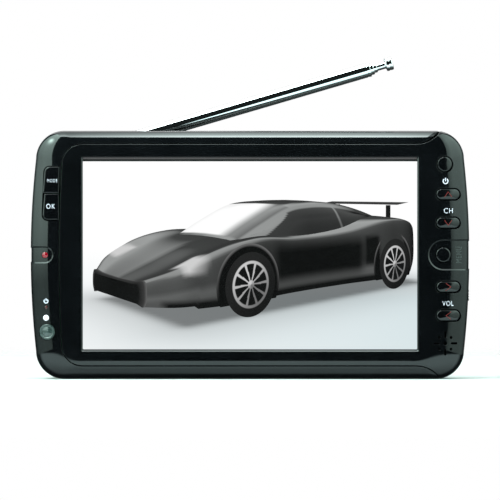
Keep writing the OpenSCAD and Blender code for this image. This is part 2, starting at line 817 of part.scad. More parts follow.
module aerial_tip() color(chrome) at_pivot() {
    neck_end = tube_end + 2 * lip + tip_neck;
    chamfer = 0.5;
    rod_x(12, neck_end + 0.1, 0, 0, tip_rod_r);
    rotate([0, 90, 0]) rotate_extrude() polygon([
        [0, neck_end], [tip_knob_r - chamfer, neck_end], [tip_knob_r, neck_end + chamfer],
        [tip_knob_r, neck_end + tip_knob_len - chamfer], [tip_knob_r - chamfer, neck_end + tip_knob_len],
        [0, neck_end + tip_knob_len]
    ]);
}

// ---------- stand ----------

module stand_plate() color(case_black) difference() {
    union() {
        rod_x(-stand_w / 2, stand_w / 2, stand_pin_y, stand_hinge_z, stand_t / 2);
        block(-stand_w / 2, stand_w / 2, stand_y, stand_y + stand_t, stand_low, stand_hinge_z);
        block(-12, 12, stand_pin_y - 0.6, stand_pin_y + 0.6, stand_hinge_z, stand_hinge_z + stand_heel);
    }
    rod_x(-stand_w, stand_w, stand_pin_y, stand_hinge_z, stand_pin_r + running);
    notch_w = pad_w + 0.1;
    block(-notch_w / 2, notch_w / 2, stand_y - 1, y_back + 1, stand_low - 1, stand_low + pad_h + 0.05);
    // Three grip grooves
    groove_w = 28;
    groove_h = 1.4;
    groove_pitch = 3.4;
    for (i = [0:2]) translate([0, 0, 12 + groove_pitch * i])
        block(-groove_w / 2, groove_w / 2, y_back - 0.7, y_back + 1, 0, groove_h);
}

module stand_pin() color(steel)
    rod_x(-stand_w / 2 - 2, stand_w / 2 + 2, stand_pin_y, stand_hinge_z, stand_pin_r);

module stand_pad() color(rubber_black)
    block(-pad_w / 2, pad_w / 2, stand_y, stand_y + stand_t, stand_low, stand_low + pad_h);

front_panel();
outer_frame();
rear_cover();
case_screws();
display_gasket();
display_frame();
display_glass();
backlight_unit();
display_ribbon();
power_button();
channel_up_button();
channel_down_button();
menu_button();
volume_up_button();
volume_down_button();
mode_button();
ok_button();
right_key_board();
left_key_board();
right_key_switches();
left_key_switches();
key_ribbons();
charge_lens();
power_lens();
status_lens();
remote_lens();
remote_receiver();
indicator_leds();
speaker();
speaker_cloth();
speaker_leads();
chassis_plate();
chassis_screws();
main_board();
board_screws();
board_chips();
board_connectors();
tuner_can();
battery_pack();
battery_leads();
earphone_jack();
av_jack();
dc_jack();
usb_port();
card_slot();
slide_switch();
switch_knob();
aerial_swivel();
aerial_pin();
aerial_washer();
aerial_screw();
aerial_lead();
aerial_tube();
aerial_section_2();
aerial_section_3();
aerial_tip();
stand_plate();
stand_pin();
stand_pad();
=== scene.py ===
"""Looks of a portable television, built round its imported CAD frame.

Lengths are millimetres until a mesh is made, and every mesh is in metres in the row frame.
"""

import math

import bmesh
import bpy
import numpy as np
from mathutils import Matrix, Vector
from mathutils.bvhtree import BVHTree


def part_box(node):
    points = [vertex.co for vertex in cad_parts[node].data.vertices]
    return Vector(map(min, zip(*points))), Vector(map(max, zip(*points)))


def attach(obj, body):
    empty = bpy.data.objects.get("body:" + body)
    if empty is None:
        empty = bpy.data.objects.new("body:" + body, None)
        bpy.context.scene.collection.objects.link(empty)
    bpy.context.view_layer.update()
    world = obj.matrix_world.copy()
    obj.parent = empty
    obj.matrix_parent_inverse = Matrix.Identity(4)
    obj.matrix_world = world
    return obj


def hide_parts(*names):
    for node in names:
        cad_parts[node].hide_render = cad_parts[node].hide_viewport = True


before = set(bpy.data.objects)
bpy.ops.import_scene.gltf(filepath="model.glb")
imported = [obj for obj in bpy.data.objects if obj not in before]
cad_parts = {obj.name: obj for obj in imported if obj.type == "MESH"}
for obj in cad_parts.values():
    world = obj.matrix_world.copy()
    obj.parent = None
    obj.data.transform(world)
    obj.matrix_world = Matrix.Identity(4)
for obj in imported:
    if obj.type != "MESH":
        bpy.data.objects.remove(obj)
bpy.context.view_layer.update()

MM = 0.001


def box_mm(node):
    """Lowest and highest corner of a CAD node, in millimetres."""
    low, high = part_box(node)
    return np.array(low) / MM, np.array(high) / MM


def centre_mm(node):
    """Middle of a CAD node's box seen from the front, as (x, z) in millimetres."""
    low, high = box_mm(node)
    return (low[[0, 2]] + high[[0, 2]]) / 2


# ---------- sizes of the case ----------

HALF_W, BACK, HEIGHT = box_mm("rear_cover")[1]
FRONT = box_mm("front_panel")[0][1]
MID_Z = HEIGHT / 2
PARTING = -3.0
PARTING_GAP = 0.12
WALL = 2.0
CORNER_R = 13.0
SIDE_BULGE_R = 397.0
FRONT_ROUND = 7.0
BACK_ROUND = 8.0
EDGE_R = 0.35  # rounding of moulded edges
FRONT_FLAT = dict(left=-86.5, right=82.0, low=9.4, high=HEIGHT - 9.4, r=8.0)
BACK_FLAT = dict(left=-90.0, right=90.0, low=5.0, high=106.0, r=12.0)

SEAM_LEFT = -87.8
SEAM_INSET = 6.2
SEAM_R = 9.5
SEAM_BULGE_R = 745.0
SWEEP_X = HALF_W - 25.0
SWEEP_R = 14.0
SWEEP_TURN = 53.0

BAND_DEPTH = 0.45
MENU_BAND_R = 6.4
CHARGE_BAND_R = 3.2
BUTTON_PROUD = 0.35
KEY_PROUD = 0.2
BUTTON_BACK = -9.9

POWER = centre_mm("power_button")
MENU = centre_mm("menu_button")
SPEAKER = centre_mm("speaker")
CHARGE = centre_mm("charge_lens")
POWER_LED = centre_mm("power_lens")
STATUS = centre_mm("status_lens")
REMOTE = centre_mm("remote_lens")
PIVOT = centre_mm("aerial_screw")  # of the aerial's swivel
PIVOT_HOLE_R = 2.56
SCREWS = [(x, z) for x in (-91, 91) for z in (6.6, HEIGHT - 6.6)]
SCREW_R, SCREW_HEAD_R, SCREW_POST_R = 1.1, 2.5, 3.6
SCREW_HEAD_Y = 4.0  # depth of the floor that each screw's head sits on
# The aerial's recess and the stand's pocket in the back: left, right, low, high, and depth of the floor.
RECESS = (-84.0, 78.0, 101.5, HEIGHT + 8, 6.5)
POCKET = (-32.9, 32.9, -12.0, 65.68, 11.6)


# ---------- outlines in the plane of the front, as arrays of (x, z) ----------


def arc(x, z, r, start, end, steps):
    """Points on an arc about (x, z), with angles in degrees."""
    a = np.radians(np.linspace(start, end, steps + 1))
    return np.column_stack([x + r * np.cos(a), z + r * np.sin(a)])


def cos_sin(degrees):
    return math.cos(math.radians(degrees)), math.sin(math.radians(degrees))


def turned(points, degrees):
    """Points of an outline turned anticlockwise about (0, 0)."""
    c, s = cos_sin(degrees)
    return points @ np.array([[c, s], [-s, c]])


def between(a, b, steps):
    """Points inside the straight run from a to b, without its ends."""
    t = np.linspace(0, 1, steps + 1)[1:-1, None]
    return np.asarray(a) * (1 - t) + np.asarray(b) * t


def rounded_box(left, right, low, high, r, corner_steps=14, edge_steps=24, bulge_r=None):
    """Anticlockwise rounded rectangle whose left and right sides may bulge."""
    mid = (low + high) / 2
    reach = (high - low) / 2 - r
    cut = reach**2 / (2 * bulge_r) if bulge_r else 0.0
    corners = [
        arc(right - cut - r, high - r, r, 0, 90, corner_steps),
        arc(left + cut + r, high - r, r, 90, 180, corner_steps),
        arc(left + cut + r, low + r, r, 180, 270, corner_steps),
        arc(right - cut - r, low + r, r, 270, 360, corner_steps),
    ]
    edges = [between(corners[i][-1], corners[(i + 1) % 4][0], edge_steps) for i in range(4)]
    if bulge_r:
        for edge, x, way in ((edges[1], left, 1), (edges[3], right, -1)):
            edge[:, 0] = x + way * (edge[:, 1] - mid) ** 2 / (2 * bulge_r)
    return np.vstack([part for pair in zip(corners, edges) for part in pair])


def grown(points, amount):
    """An anticlockwise outline moved outwards by amount."""
    step = np.roll(points, -1, 0) - np.roll(points, 1, 0)
    out = np.column_stack([step[:, 1], -step[:, 0]])
    return points + amount * out / np.linalg.norm(out, axis=1, keepdims=True)


def circle(at, r, steps=48):
    return arc(at[0], at[1], r, 0, 360 - 360 / steps, steps - 1)


def oblong(at, width, height, steps=20, edge_steps=6):
    """Anticlockwise oblong with round ends, longer along x."""
    half = (width - height) / 2
    right = arc(at[0] + half, at[1], height / 2, -90, 90, steps)
    left = arc(at[0] - half, at[1], height / 2, 90, 270, steps)
    return np.vstack([
        right, between(right[-1], left[0], edge_steps), left, between(left[-1], right[0], edge_steps)
    ])


def case_outline(inset):
    return rounded_box(
        -HALF_W + inset, HALF_W - inset, inset, HEIGHT - inset, CORNER_R - inset, bulge_r=SIDE_BULGE_R
    )


def panel_outline(parted=0.0):
    """The seam round the front panel, closed beyond the case on the right.

    At its top right it's moved off the panel, by up to parted where it leaves the case.
    """
    turn = 90 - SWEEP_TURN
    lower = arc(SWEEP_X, SEAM_INSET - SWEEP_R, SWEEP_R, 90, turn, 20)
    upper = arc(0, 0, SWEEP_R, -turn, -90, 20) * (1 - np.linspace(parted, 0, 21)[:, None] / SWEEP_R)
    upper += [SWEEP_X, HEIGHT - SEAM_INSET + SWEEP_R]
    run = 12 * np.array(cos_sin(-SWEEP_TURN))
    low_end, high_end = lower[-1] + run, upper[0] + run * [1, -1]
    left = rounded_box(
        SEAM_LEFT, SWEEP_X, SEAM_INSET, HEIGHT - SEAM_INSET, SEAM_R, 14, 40, SEAM_BULGE_R
    )
    first = 15  # the last point of the top right corner
    last = first + 39 + 15 + 39 + 15 + 39
    outside = HALF_W + 12
    return np.vstack([
        lower,
        between(lower[-1], low_end, 4),
        low_end,
        [outside, low_end[1]],
        [outside, high_end[1]],
        high_end,
        between(high_end, upper[0], 4),
        upper,
        left[first + 5 : last],
    ])


# ---------- meshes ----------


def raw_mesh(name, verts, faces):
    """An object that isn't in the scene yet, from millimetres."""
    mesh = bpy.data.meshes.new(name)
    mesh.from_pydata((np.asarray(verts) * MM).tolist(), [], faces)
    mesh.validate()
    return bpy.data.objects.new(name, mesh)


def link(obj):
    bpy.context.scene.collection.objects.link(obj)
    return obj


def placed(points, y):
    """Points of an outline at depth y, where y is a number or one value a point."""
    return np.column_stack([points[:, 0], np.broadcast_to(y, len(points)), points[:, 1]])


def sides_of(rings):
    """Faces that join each ring to the next, for rings of equal length."""
    count = len(rings[0])
    faces = []
    for k in range(0, (len(rings) - 1) * count, count):
        for i in range(count):
            j = (i + 1) % count
            faces.append([k + i, k + count + i, k + count + j, k + j])
    return faces


def loft(name, rings):
    """A closed skin over rings of equal length that run from front to back."""
    count = len(rings[0])
    last = (len(rings) - 1) * count
    faces = sides_of(rings)
    faces.append(list(range(count)))
    faces.append(list(range(last + count - 1, last - 1, -1)))
    return raw_mesh(name, np.vstack(rings), faces)


def drawn(name, outline, *steps):
    """A loft of one outline through (depth, growth) steps from front to back."""
    return loft(name, [placed(grown(outline, growth), y) for y, growth in steps])


def straight(name, outline, start, end):
    return loft(name, [placed(outline, start), placed(outline, end)])


def quarter(steps):
    """Angles of a quarter turn, in radians."""
    return np.radians(np.linspace(0, 90, steps + 1))


def half_rings(flat, face_y, depth, inset, rim_y, edge, way):
    """Rings of half the case, from its flat face to its rim, where edge rounds the last corner.

    The half runs towards +Y from its face with way 1, and towards -Y with way -1.
    """
    flat, wide = rounded_box(bulge_r=SIDE_BULGE_R, **flat), case_outline(inset)
    rings = []
    for a in quarter(18):
        ring = flat * (1 - math.sin(a)) + wide * math.sin(a)
        rings.append(placed(ring, face_y + way * inset + way * (depth - inset) * (1 - math.cos(a))))
    if not edge:
        return rings + [placed(wide, rim_y)]
    for a in quarter(4):
        ring = case_outline(inset + edge * (1 - math.cos(a)))
        rings.append(placed(ring, rim_y - way * edge * (1 - math.sin(a))))
    return rings


def front_rings(inset, rim_y, edge=0.0):
    """Rings of the case's front half, from the flat front to rim_y."""
    return half_rings(FRONT_FLAT, FRONT, FRONT_ROUND, inset, rim_y, edge, 1)


def back_rings(inset, rim_y, edge=0.0):
    """Rings of the case's rear half, from rim_y to the flat back."""
    return half_rings(BACK_FLAT, BACK, BACK_ROUND, inset, rim_y, edge, -1)[::-1]


class Skin:
    """A smooth reference surface: where it is, and which way it faces.

    Its rings start round a flat area and run back to the edge of the case.
    """

    def __init__(self, rings, edge_y):
        self.flat = rings[0][:, [0, 2]]
        self.flat_y = rings[0][0, 1]
        self.edge_y = edge_y
        rings = [r for k, r in enumerate(rings) if k == 0 or np.abs(r - rings[k - 1]).max() > 1e-6]
        grid = np.array(rings)
        along = np.roll(grid, -1, 1) - np.roll(grid, 1, 1)
        across = np.gradient(grid, axis=0)
        normals = np.cross(across, along)
        normals /= np.linalg.norm(normals, axis=2, keepdims=True)
        self.normals = normals.reshape(-1, 3)
        self.points = grid.reshape(-1, 3)
        self.faces = []
        for a, b, c, d in sides_of(rings):
            self.faces += [(a, b, c), (a, c, d)]
        self.tree = BVHTree.FromPolygons(self.points.tolist(), self.faces)

    def normal_at(self, point, index):
        a, b, c = (self.points[i] for i in self.faces[index])
        u, v, w = b - a, c - a, np.array(point) - a
        uu, uv, vv, wu, wv = u @ u, u @ v, v @ v, w @ u, w @ v
        det = uu * vv - uv * uv
        if abs(det) < 1e-12:
            return self.normals[self.faces[index][0]]
        s, t = (vv * wu - uv * wv) / det, (uu * wv - uv * wu) / det
        na, nb, nc = (self.normals[i] for i in self.faces[index])
        n = na * (1 - s - t) + nb * s + nc * t
        return n / np.linalg.norm(n)

    def nearest(self, point):
        """(distance, normal) of the closest place on the skin."""
        hit, _, index, distance = self.tree.find_nearest(Vector(point))
        return distance, self.normal_at(hit, index)


def as_seen_from_back(rings):
    """The rings turned half round, so that the back of the case faces the front."""
    return [ring * [-1, -1, 1] for ring in reversed(rings)]


FRONT_SKIN = Skin(front_rings(0.0, PARTING), FRONT + FRONT_ROUND)
BAND_SKIN = Skin(front_rings(BAND_DEPTH, PARTING), FRONT + FRONT_ROUND)
BACK_SKIN = Skin(back_rings(0.0, PARTING), BACK - BACK_ROUND)
KEY_SKIN = Skin([r * [1, 0.63, 1] + [0, 0.37 * FRONT, 0] for r in front_rings(0.0, PARTING)], FRONT + 5)
BACK_VIEW = Skin(as_seen_from_back(back_rings(0.0, PARTING)), BACK_ROUND - BACK)


def inside(point, outline):
    """Whether a point is in an outline."""
    x, z = outline[:, 0], outline[:, 1]
    x2, z2 = np.roll(x, -1), np.roll(z, -1)
    crosses = (z > point[1]) != (z2 > point[1])
    with np.errstate(divide="ignore", invalid="ignore"):
        at = (x2 - x) * (point[1] - z) / (z2 - z) + x
    return bool(np.count_nonzero(crosses & (point[0] < at)) % 2)


def face_of_case(point, skin):
    """Depth of a skin at (x, z), and the way it faces there."""
    if inside(point, skin.flat):
        return skin.flat_y, np.array([0.0, -1.0, 0.0])
    start = Vector((point[0], skin.flat_y - 5, point[1]))
    hit, _, index, _ = skin.tree.ray_cast(start, Vector((0, 1, 0)))
    if hit is None:
        return skin.edge_y, np.array([0.0, -1.0, 0.0])
    return hit.y, skin.normal_at(hit, index)


def on_case(points, depth, skin=FRONT_SKIN):
    """An outline laid on a skin, or at a plain depth, and sunk by depth; a negative depth is proud."""
    if not isinstance(skin, Skin):
        return placed(points, skin + depth)
    y = []
    for p in points:
        surface_y, n = face_of_case(p, skin)
        y.append(surface_y + depth / max(-n[1], 0.5))
    return placed(points, np.array(y))


def cutter(name, rings, outline, back):
    """A cutter that comes in from outside, follows the rings of its mouth and runs on to back."""
    rings = [placed(rings[0][:, [0, 2]], rings[0][:, 1].min() - 3)] + rings
    for k, ring in enumerate(rings):
        ring[:, 1] = np.minimum(ring[:, 1], back - 0.05 * (len(rings) - k))
    return loft(name, rings + [placed(outline, back)])


def stepped(name, outline, slope_w, slope_d):
    """A cutter into the front with a sloping side, slope_w wide and slope_d deep."""
    over = 0.3  # how far the slope carries on outside the case, as a share of it
    mouth_ring = on_case(grown(outline, (1 + over) * slope_w), -over * slope_d)
    return cutter(name, [mouth_ring, on_case(outline, slope_d)], outline, PARTING + 1)


def mouth(name, outline, r, back=PARTING + 1, skin=FRONT_SKIN, steps=4, sign=1):
    """A cutter through a skin whose mouth is rounded by r, as seen from the front.

    With sign 1 it takes its own area away; with sign -1 it's the area that is kept.
    """
    rings = [on_case(grown(outline, sign * r), -0.2 * r, skin)]
    for a in np.radians(np.linspace(60, 0, steps + 1)):
        ring = grown(outline, sign * r * (1 - math.cos(a)))
        rings.append(on_case(ring, r * (1 - math.sin(a)), skin))
    return cutter(name, rings, outline, back)


TURNS = {
    "back": ((-1, 0, 0), (0, -1, 0), (0, 0, 1)),
    "left": ((0, 1, 0), (-1, 0, 0), (0, 0, 1)),
    "right": ((0, -1, 0), (1, 0, 0), (0, 0, 1)),
    "along_z": ((1, 0, 0), (0, 0, -1), (0, 1, 0)),
}


def moved(obj, turn, shift=(0, 0, 0)):
    """Turns a mesh made as seen from the front to face another way, then shifts it by millimetres."""
    mesh = obj.data
    points = np.array([v.co for v in mesh.vertices])
    points = points @ np.array(TURNS[turn] if isinstance(turn, str) else turn).T
    points = points + np.array(shift) * MM
    mesh.vertices.foreach_set("co", points.ravel())
    mesh.update()
    return obj


def block(name, low, high, r=0.0):
    """A box whose four edges along y are rounded by r."""
    shape = rounded_box(low[0], high[0], low[2], high[2], r or 0.01, 5 if r else 1, 1)
    return straight(name, shape, low[1], high[1])


def joined(name, objects):
    """One mesh from several that don't touch."""
    verts, faces = [], []
    for obj in objects:
        base = len(verts)
        verts += [v.co / MM for v in obj.data.vertices]
        faces += [[base + i for i in p.vertices] for p in obj.data.polygons]
    return raw_mesh(name, np.array([list(v) for v in verts]), faces)


def boolean(target, tool, operation="DIFFERENCE"):
    """Changes target by a boolean with tool, and removes the tool."""
    for obj in (target, tool):
        if obj.name not in bpy.context.scene.collection.objects:
            link(obj)
    change = target.modifiers.new("change", "BOOLEAN")
    change.operation, change.object, change.solver = operation, tool, "EXACT"
    graph = bpy.context.evaluated_depsgraph_get()
    mesh = bpy.data.meshes.new_from_object(target.evaluated_get(graph))
    target.modifiers.clear()
    old, target.data = target.data, mesh
    bpy.data.meshes.remove(old)
    bpy.data.objects.remove(tool)
    return target


def cut(target, tools):
    """Takes away from target several tools that don't touch each other."""
    return boolean(target, joined("cuts", tools))


def smooth(obj, skins=(), crease=35.0):
    """Smooth shading that is exact on the reference skins and keeps edges sharper than crease."""
    mesh = obj.data
    bm = bmesh.new()
    bm.from_mesh(mesh)
    bmesh.ops.dissolve_degenerate(bm, dist=1e-7, edges=bm.edges)
    bmesh.ops.remove_doubles(bm, verts=bm.verts, dist=2e-7)
    bm.to_mesh(mesh)
    bm.free()
    limit = math.cos(math.radians(crease))
    count = len(mesh.vertices)
    faces = [(np.array(p.normal), p.area, list(p.vertices)) for p in mesh.polygons]
    around = [[] for _ in range(count)]
    for k, (_, _, verts) in enumerate(faces):
        for v in verts:
            around[v].append(k)
    reference = []
    for v in mesh.vertices:
        found = []
        for skin in skins:
            distance, n = skin.nearest(v.co / MM)
            if distance < 0.01:
                found.append(n)
        reference.append(found)
    normals = []
    for n, _, verts in faces:
        for v in verts:
            best = [r for r in reference[v] if r @ n > 0.93]
            if best:
                normals.append(best[0])
                continue
            total = sum(faces[k][0] * faces[k][1] for k in around[v] if faces[k][0] @ n > limit)
            normals.append(total / np.linalg.norm(total) if np.any(total) else n)
    mesh.shade_smooth()
    mesh.normals_split_custom_set([tuple(n) for n in normals])
    return obj


def piece(obj, body, material, replaces=()):
    """Puts a finished mesh on its body, with its material."""
    if obj.name not in bpy.context.scene.collection.objects:
        link(obj)
    obj.data.materials.clear()
    obj.data.materials.append(material)
    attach(obj, body)
    if replaces:
        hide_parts(*replaces)
    return obj


# ---------- materials ----------


class Nodes:
    """The node tree of a material or a world, with short ways to add and join nodes."""

    def __init__(self, owner):
        owner.use_nodes = True
        self.owner = owner
        self.tree = owner.node_tree
        self.shader = self.tree.nodes.get("Principled BSDF")
        self.place = self.add("TexCoord").outputs["Object"]

    def add(self, kind, **settings):
        node = self.tree.nodes.new("ShaderNode" + kind)
        for key, value in settings.items():
            if hasattr(node, key):
                setattr(node, key, value)
            else:
                node.inputs[key.replace("_", " ")].default_value = value
        return node

    def join(self, output, target):
        self.tree.links.new(output, target)

    def noise(self, scale, detail=3.0, stretch=None):
        """A noise with about scale features a metre, drawn out along an axis by stretch."""
        node = self.add("TexNoise", Scale=scale, Detail=detail)
        source = self.place
        if stretch:
            mapping = self.add("Mapping", Scale=stretch)
            self.join(source, mapping.inputs["Vector"])
            source = mapping.outputs["Vector"]
        self.join(source, node.inputs["Vector"])
        return node.outputs["Fac"]

    def ramp(self, value, low, high, start=0.35, end=0.65, shape="LINEAR"):
        """Maps a value that runs from start to end to the range from low to high."""
        node = self.add("MapRange", From_Min=start, From_Max=end, To_Min=low, To_Max=high)
        node.interpolation_type = shape
        self.join(value, node.inputs["Value"])
        return node.outputs["Result"]

    def math(self, operation, first, second):
        node = self.add("Math", operation=operation)
        self.join(first, node.inputs[0])
        self.join(second, node.inputs[1])
        return node.outputs[0]

    def blend(self, factor, first, second):
        node = self.add("Mix", data_type="RGBA")
        node.inputs[6].default_value, node.inputs[7].default_value = (*first, 1), (*second, 1)
        self.join(factor, node.inputs[0])
        return node.outputs[2]

    def bump(self, height, strength, distance):
        """Raises the surface by height times distance, in millimetres."""
        node = self.add("Bump", Strength=strength, Distance=distance * MM)
        self.join(height, node.inputs["Height"])
        self.join(node.outputs["Normal"], self.shader.inputs["Normal"])

    def finish(self, colour, paler, rough, rougher, cloud):
        """Lets colour and roughness drift with the same cloudy noise."""
        self.join(self.blend(self.ramp(cloud, 0, 1), colour, paler), self.shader.inputs["Base Color"])
        self.join(self.ramp(cloud, rough, rougher), self.shader.inputs["Roughness"])
        return self

    def set(self, **values):
        for key, value in values.items():
            self.shader.inputs[key.replace("_", " ")].default_value = value
        return self


def new_material(name):
    return Nodes(bpy.data.materials.new(name))


def plastic(name, colour, rough, rougher, grain=0.008, grain_mm=0.004, grain_scale=500):
    """Moulded plastic: slight drifts of tone and polish, and a fine surface grain."""
    m = new_material(name)
    paler = tuple(c * 1.35 + 0.0003 for c in colour)
    m.finish(colour, paler, rough, rougher, m.noise(60, 4))
    m.bump(m.noise(grain_scale, 2), grain, grain_mm)
    return m.owner


def metal(name, colour, rough, rougher, stretch, scale, grain):
    """Metal whose polish varies along its drawing or brushing direction."""
    m = new_material(name)
    streaks = m.noise(scale, 4, stretch)
    m.finish(tuple(c * 0.92 for c in colour), colour, rough, rougher, streaks)
    m.bump(streaks, grain, 0.01)
    return m.set(Metallic=1.0).owner


def cloth_weave(name):
    """A fine plain weave: two crossed sets of threads."""
    m = new_material(name)
    waves = []
    for turn in (0, math.pi / 2):
        mapping = m.add("Mapping", Rotation=(0, turn, math.radians(45)))
        m.join(m.place, mapping.inputs["Vector"])
        wave = m.add("TexWave", Scale=700.0, Distortion=0.6)
        m.join(mapping.outputs["Vector"], wave.inputs["Vector"])
        waves.append(wave.outputs["Fac"])
    weave = m.math("MULTIPLY", *waves)
    m.finish((0.006, 0.006, 0.006), (0.03, 0.03, 0.03), 0.8, 0.95, weave)
    m.bump(weave, 0.8, 0.1)
    return m.owner


def circuit_board(name):
    """Green solder mask over slightly raised square-cornered copper."""
    m = new_material(name)
    cells = m.add("TexVoronoi", Scale=420.0, distance="MANHATTAN", feature="DISTANCE_TO_EDGE")
    m.join(m.place, cells.inputs["Vector"])
    tracks = m.ramp(cells.outputs["Distance"], 0, 1, 0.02, 0.06)
    m.join(m.blend(tracks, (0.02, 0.16, 0.07), (0.008, 0.09, 0.035)), m.shader.inputs["Base Color"])
    m.join(m.ramp(m.noise(80), 0.3, 0.5), m.shader.inputs["Roughness"])
    m.bump(tracks, 0.4, 0.03)
    return m.owner


def lens(name, colour, edge, glow=0.0):
    """Tinted translucent plastic that is deeper in tone towards its rim."""
    m = new_material(name)
    facing = m.add("LayerWeight", Blend=0.35).outputs["Facing"]
    m.join(m.blend(facing, colour, edge), m.shader.inputs["Base Color"])
    m.join(m.ramp(m.noise(200), 0.06, 0.16), m.shader.inputs["Roughness"])
    m.bump(m.noise(1500, 2), 0.05, 0.01)
    m.set(Coat_Weight=0.6, Coat_Roughness=0.05, Emission_Color=(*colour, 1), Emission_Strength=glow)
    return m.owner


def printed_with_glow(name, colour):
    """Ink laid on by screen printing, slightly uneven in cover, and given a painted glow of its own colour.
    """
    m = new_material(name)
    thin = tuple(c * 0.9 for c in colour)
    m.finish(colour, thin, 0.45, 0.6, m.noise(2500, 3))
    m.bump(m.noise(5000, 2), 0.15, 0.01)
    # painted glow: the ink emits a quarter of its own colour as light, so it is brighter than the studio
    # light alone would make it
    return m.set(Emission_Color=(*colour, 1), Emission_Strength=0.25).owner


def picture_material(name):
    """Lit pixels, coloured by the mesh, under a smooth polarising sheet."""
    m = new_material(name)
    tone = m.add("Attribute", attribute_name="tone").outputs["Color"]
    m.join(tone, m.shader.inputs["Emission Color"])
    m.join(m.ramp(m.noise(300), 0.18, 0.26), m.shader.inputs["Roughness"])
    m.bump(m.noise(4000, 2), 0.02, 0.01)
    m.set(Base_Color=(0.002, 0.002, 0.002, 1), Specular_IOR_Level=0.12, Emission_Strength=1.0)
    return m.owner


GLOSS = plastic("gloss_black", (0.0026, 0.0029, 0.0036), 0.03, 0.08)
BUTTON = plastic("button_black", (0.0020, 0.0022, 0.0028), 0.05, 0.10)
REAR = plastic("rear_black", (0.006, 0.0063, 0.0067), 0.38, 0.5, 0.5, 0.04, 3000)
DULL = plastic("dull_black", (0.008, 0.008, 0.008), 0.5, 0.65, 0.4, 0.03, 2500)
RUBBER = plastic("rubber", (0.012, 0.012, 0.012), 0.75, 0.9, 0.6, 0.05, 2000)
WHITE = plastic("white_plastic", (0.75, 0.76, 0.74), 0.35, 0.5, 0.1, 0.02, 1500)
YELLOW = plastic("yellow_plastic", (0.70, 0.50, 0.03), 0.3, 0.45, 0.1, 0.02, 1500)
AMBER = plastic("amber_film", (0.42, 0.17, 0.02), 0.2, 0.35, 0.2, 0.02, 1200)
BLUE = plastic("shrink_wrap", (0.02, 0.06, 0.28), 0.18, 0.35, 0.3, 0.15, 120)
LEAD = plastic("lead_insulation", (0.012, 0.012, 0.012), 0.4, 0.55, 0.2, 0.02, 1800)
CHROME = metal("chrome", (0.88, 0.89, 0.90), 0.03, 0.07, (0.08, 1, 1), 700, 0.002)
STEEL = metal("sheet_steel", (0.55, 0.56, 0.57), 0.28, 0.42, (1, 1, 0.05), 500, 0.08)
SCREW = metal("screw_steel", (0.50, 0.50, 0.50), 0.22, 0.38, (1, 0.3, 1), 900, 0.05)
CLOTH = cloth_weave("speaker_weave")
CONE = plastic("paper_cone", (0.03, 0.03, 0.031), 0.7, 0.85, 0.6, 0.08, 900)
BOARD = circuit_board("circuit_board")
RED_LENS = lens("red_lens", (0.28, 0.004, 0.014), (0.04, 0.0, 0.003), 0.06)
DARK_RED_LENS = lens("dark_red_lens", (0.07, 0.003, 0.004), (0.02, 0.0, 0.0), 0.04)
WHITE_LENS = lens("white_lens", (0.92, 0.94, 1.0), (0.55, 0.60, 0.80), 0.7)
GREY_LENS = lens("grey_lens", (0.036, 0.056, 0.054), (0.03, 0.045, 0.042))
LED = lens("led", (0.8, 0.8, 0.75), (0.5, 0.5, 0.45))
# Each of these inks carries a painted glow of its own colour.
INK = printed_with_glow("white_ink", (0.86, 0.86, 1.0))
RED_INK = printed_with_glow("red_ink", (0.19, 0.012, 0.010))
SHADE_INK = printed_with_glow("shade_ink", (0.045, 0.056, 0.055))
PICTURE = picture_material("picture")

# ---------- case ----------


def band_outline(right):
    """A side band: a round inner end about its button or lens, then straight out past the case."""
    at, r = (MENU, MENU_BAND_R) if right else (CHARGE, CHARGE_BAND_R)
    far = HALF_W + 6 - abs(at[0])
    shape = np.vstack([
        arc(0, 0, r, 90, 270, 32), between((0, -r), (far, -r), 14),
        [(far, -r), (far, r)], between((far, r), (0, r), 14),
    ])
    return (shape if right else -shape) + at


def grille_holes():
    """One hole, four dots on the diagonals and four slots between them."""
    dot_out, slot_out, slot_length, slot_w = 2.7, 4.1, 3.0, 1.0
    shapes = [circle(SPEAKER, 0.9, 24)]
    for x in (-dot_out, dot_out):
        for z in (-dot_out, dot_out):
            shapes.append(circle(SPEAKER + [x, z], 0.65, 20))
    level = oblong((0, 0), slot_length, slot_w, 8, 2)
    upright = level @ np.array([[0, 1], [-1, 0]])
    for way in (-1, 1):
        shapes.append(level + SPEAKER + [way * slot_out, 0])
        shapes.append(upright + SPEAKER + [0, way * slot_out])
    return [mouth("grille", shape, 0.12, steps=2) for shape in shapes]


def front_shell():
    """The whole front half of the case, with both side bands stepped down."""
    end = PARTING - PARTING_GAP
    shell = loft("front_shell", front_rings(0.0, end, EDGE_R))
    for right in (True, False):
        boolean(shell, stepped("band", band_outline(right), 0.7, BAND_DEPTH + 0.08))
    floor = loft("band_floor", front_rings(BAND_DEPTH, end - 0.02, EDGE_R))
    boolean(shell, floor, "UNION")
    return boolean(shell, loft("hollow", front_rings(WALL, PARTING + 1)))


def picture_opening():
    """The cutter for the picture: a slope above and below it, and a narrower one at its sides."""
    half_w, low, high, corner_r = 76.95, MID_Z - 43.45, MID_Z + 44.1, 0.4
    steps = [
        (0.9, 1.25, -3.0), (0.9, 1.25, -0.1), (0.66, 1.01, 0.04), (0.54, 0.89, 0.14), (0.0, 0.45, 0.68),
        (0.0, 0.0, 1.35), (0.0, 0.0, 4.3),
    ]
    rings = []
    for x, z, y in steps:
        shape = rounded_box(-half_w - x, half_w + x, low - z, high + z, corner_r, 4, 30)
        rings.append(placed(shape, FRONT + y))
    return loft("picture_opening", rings)


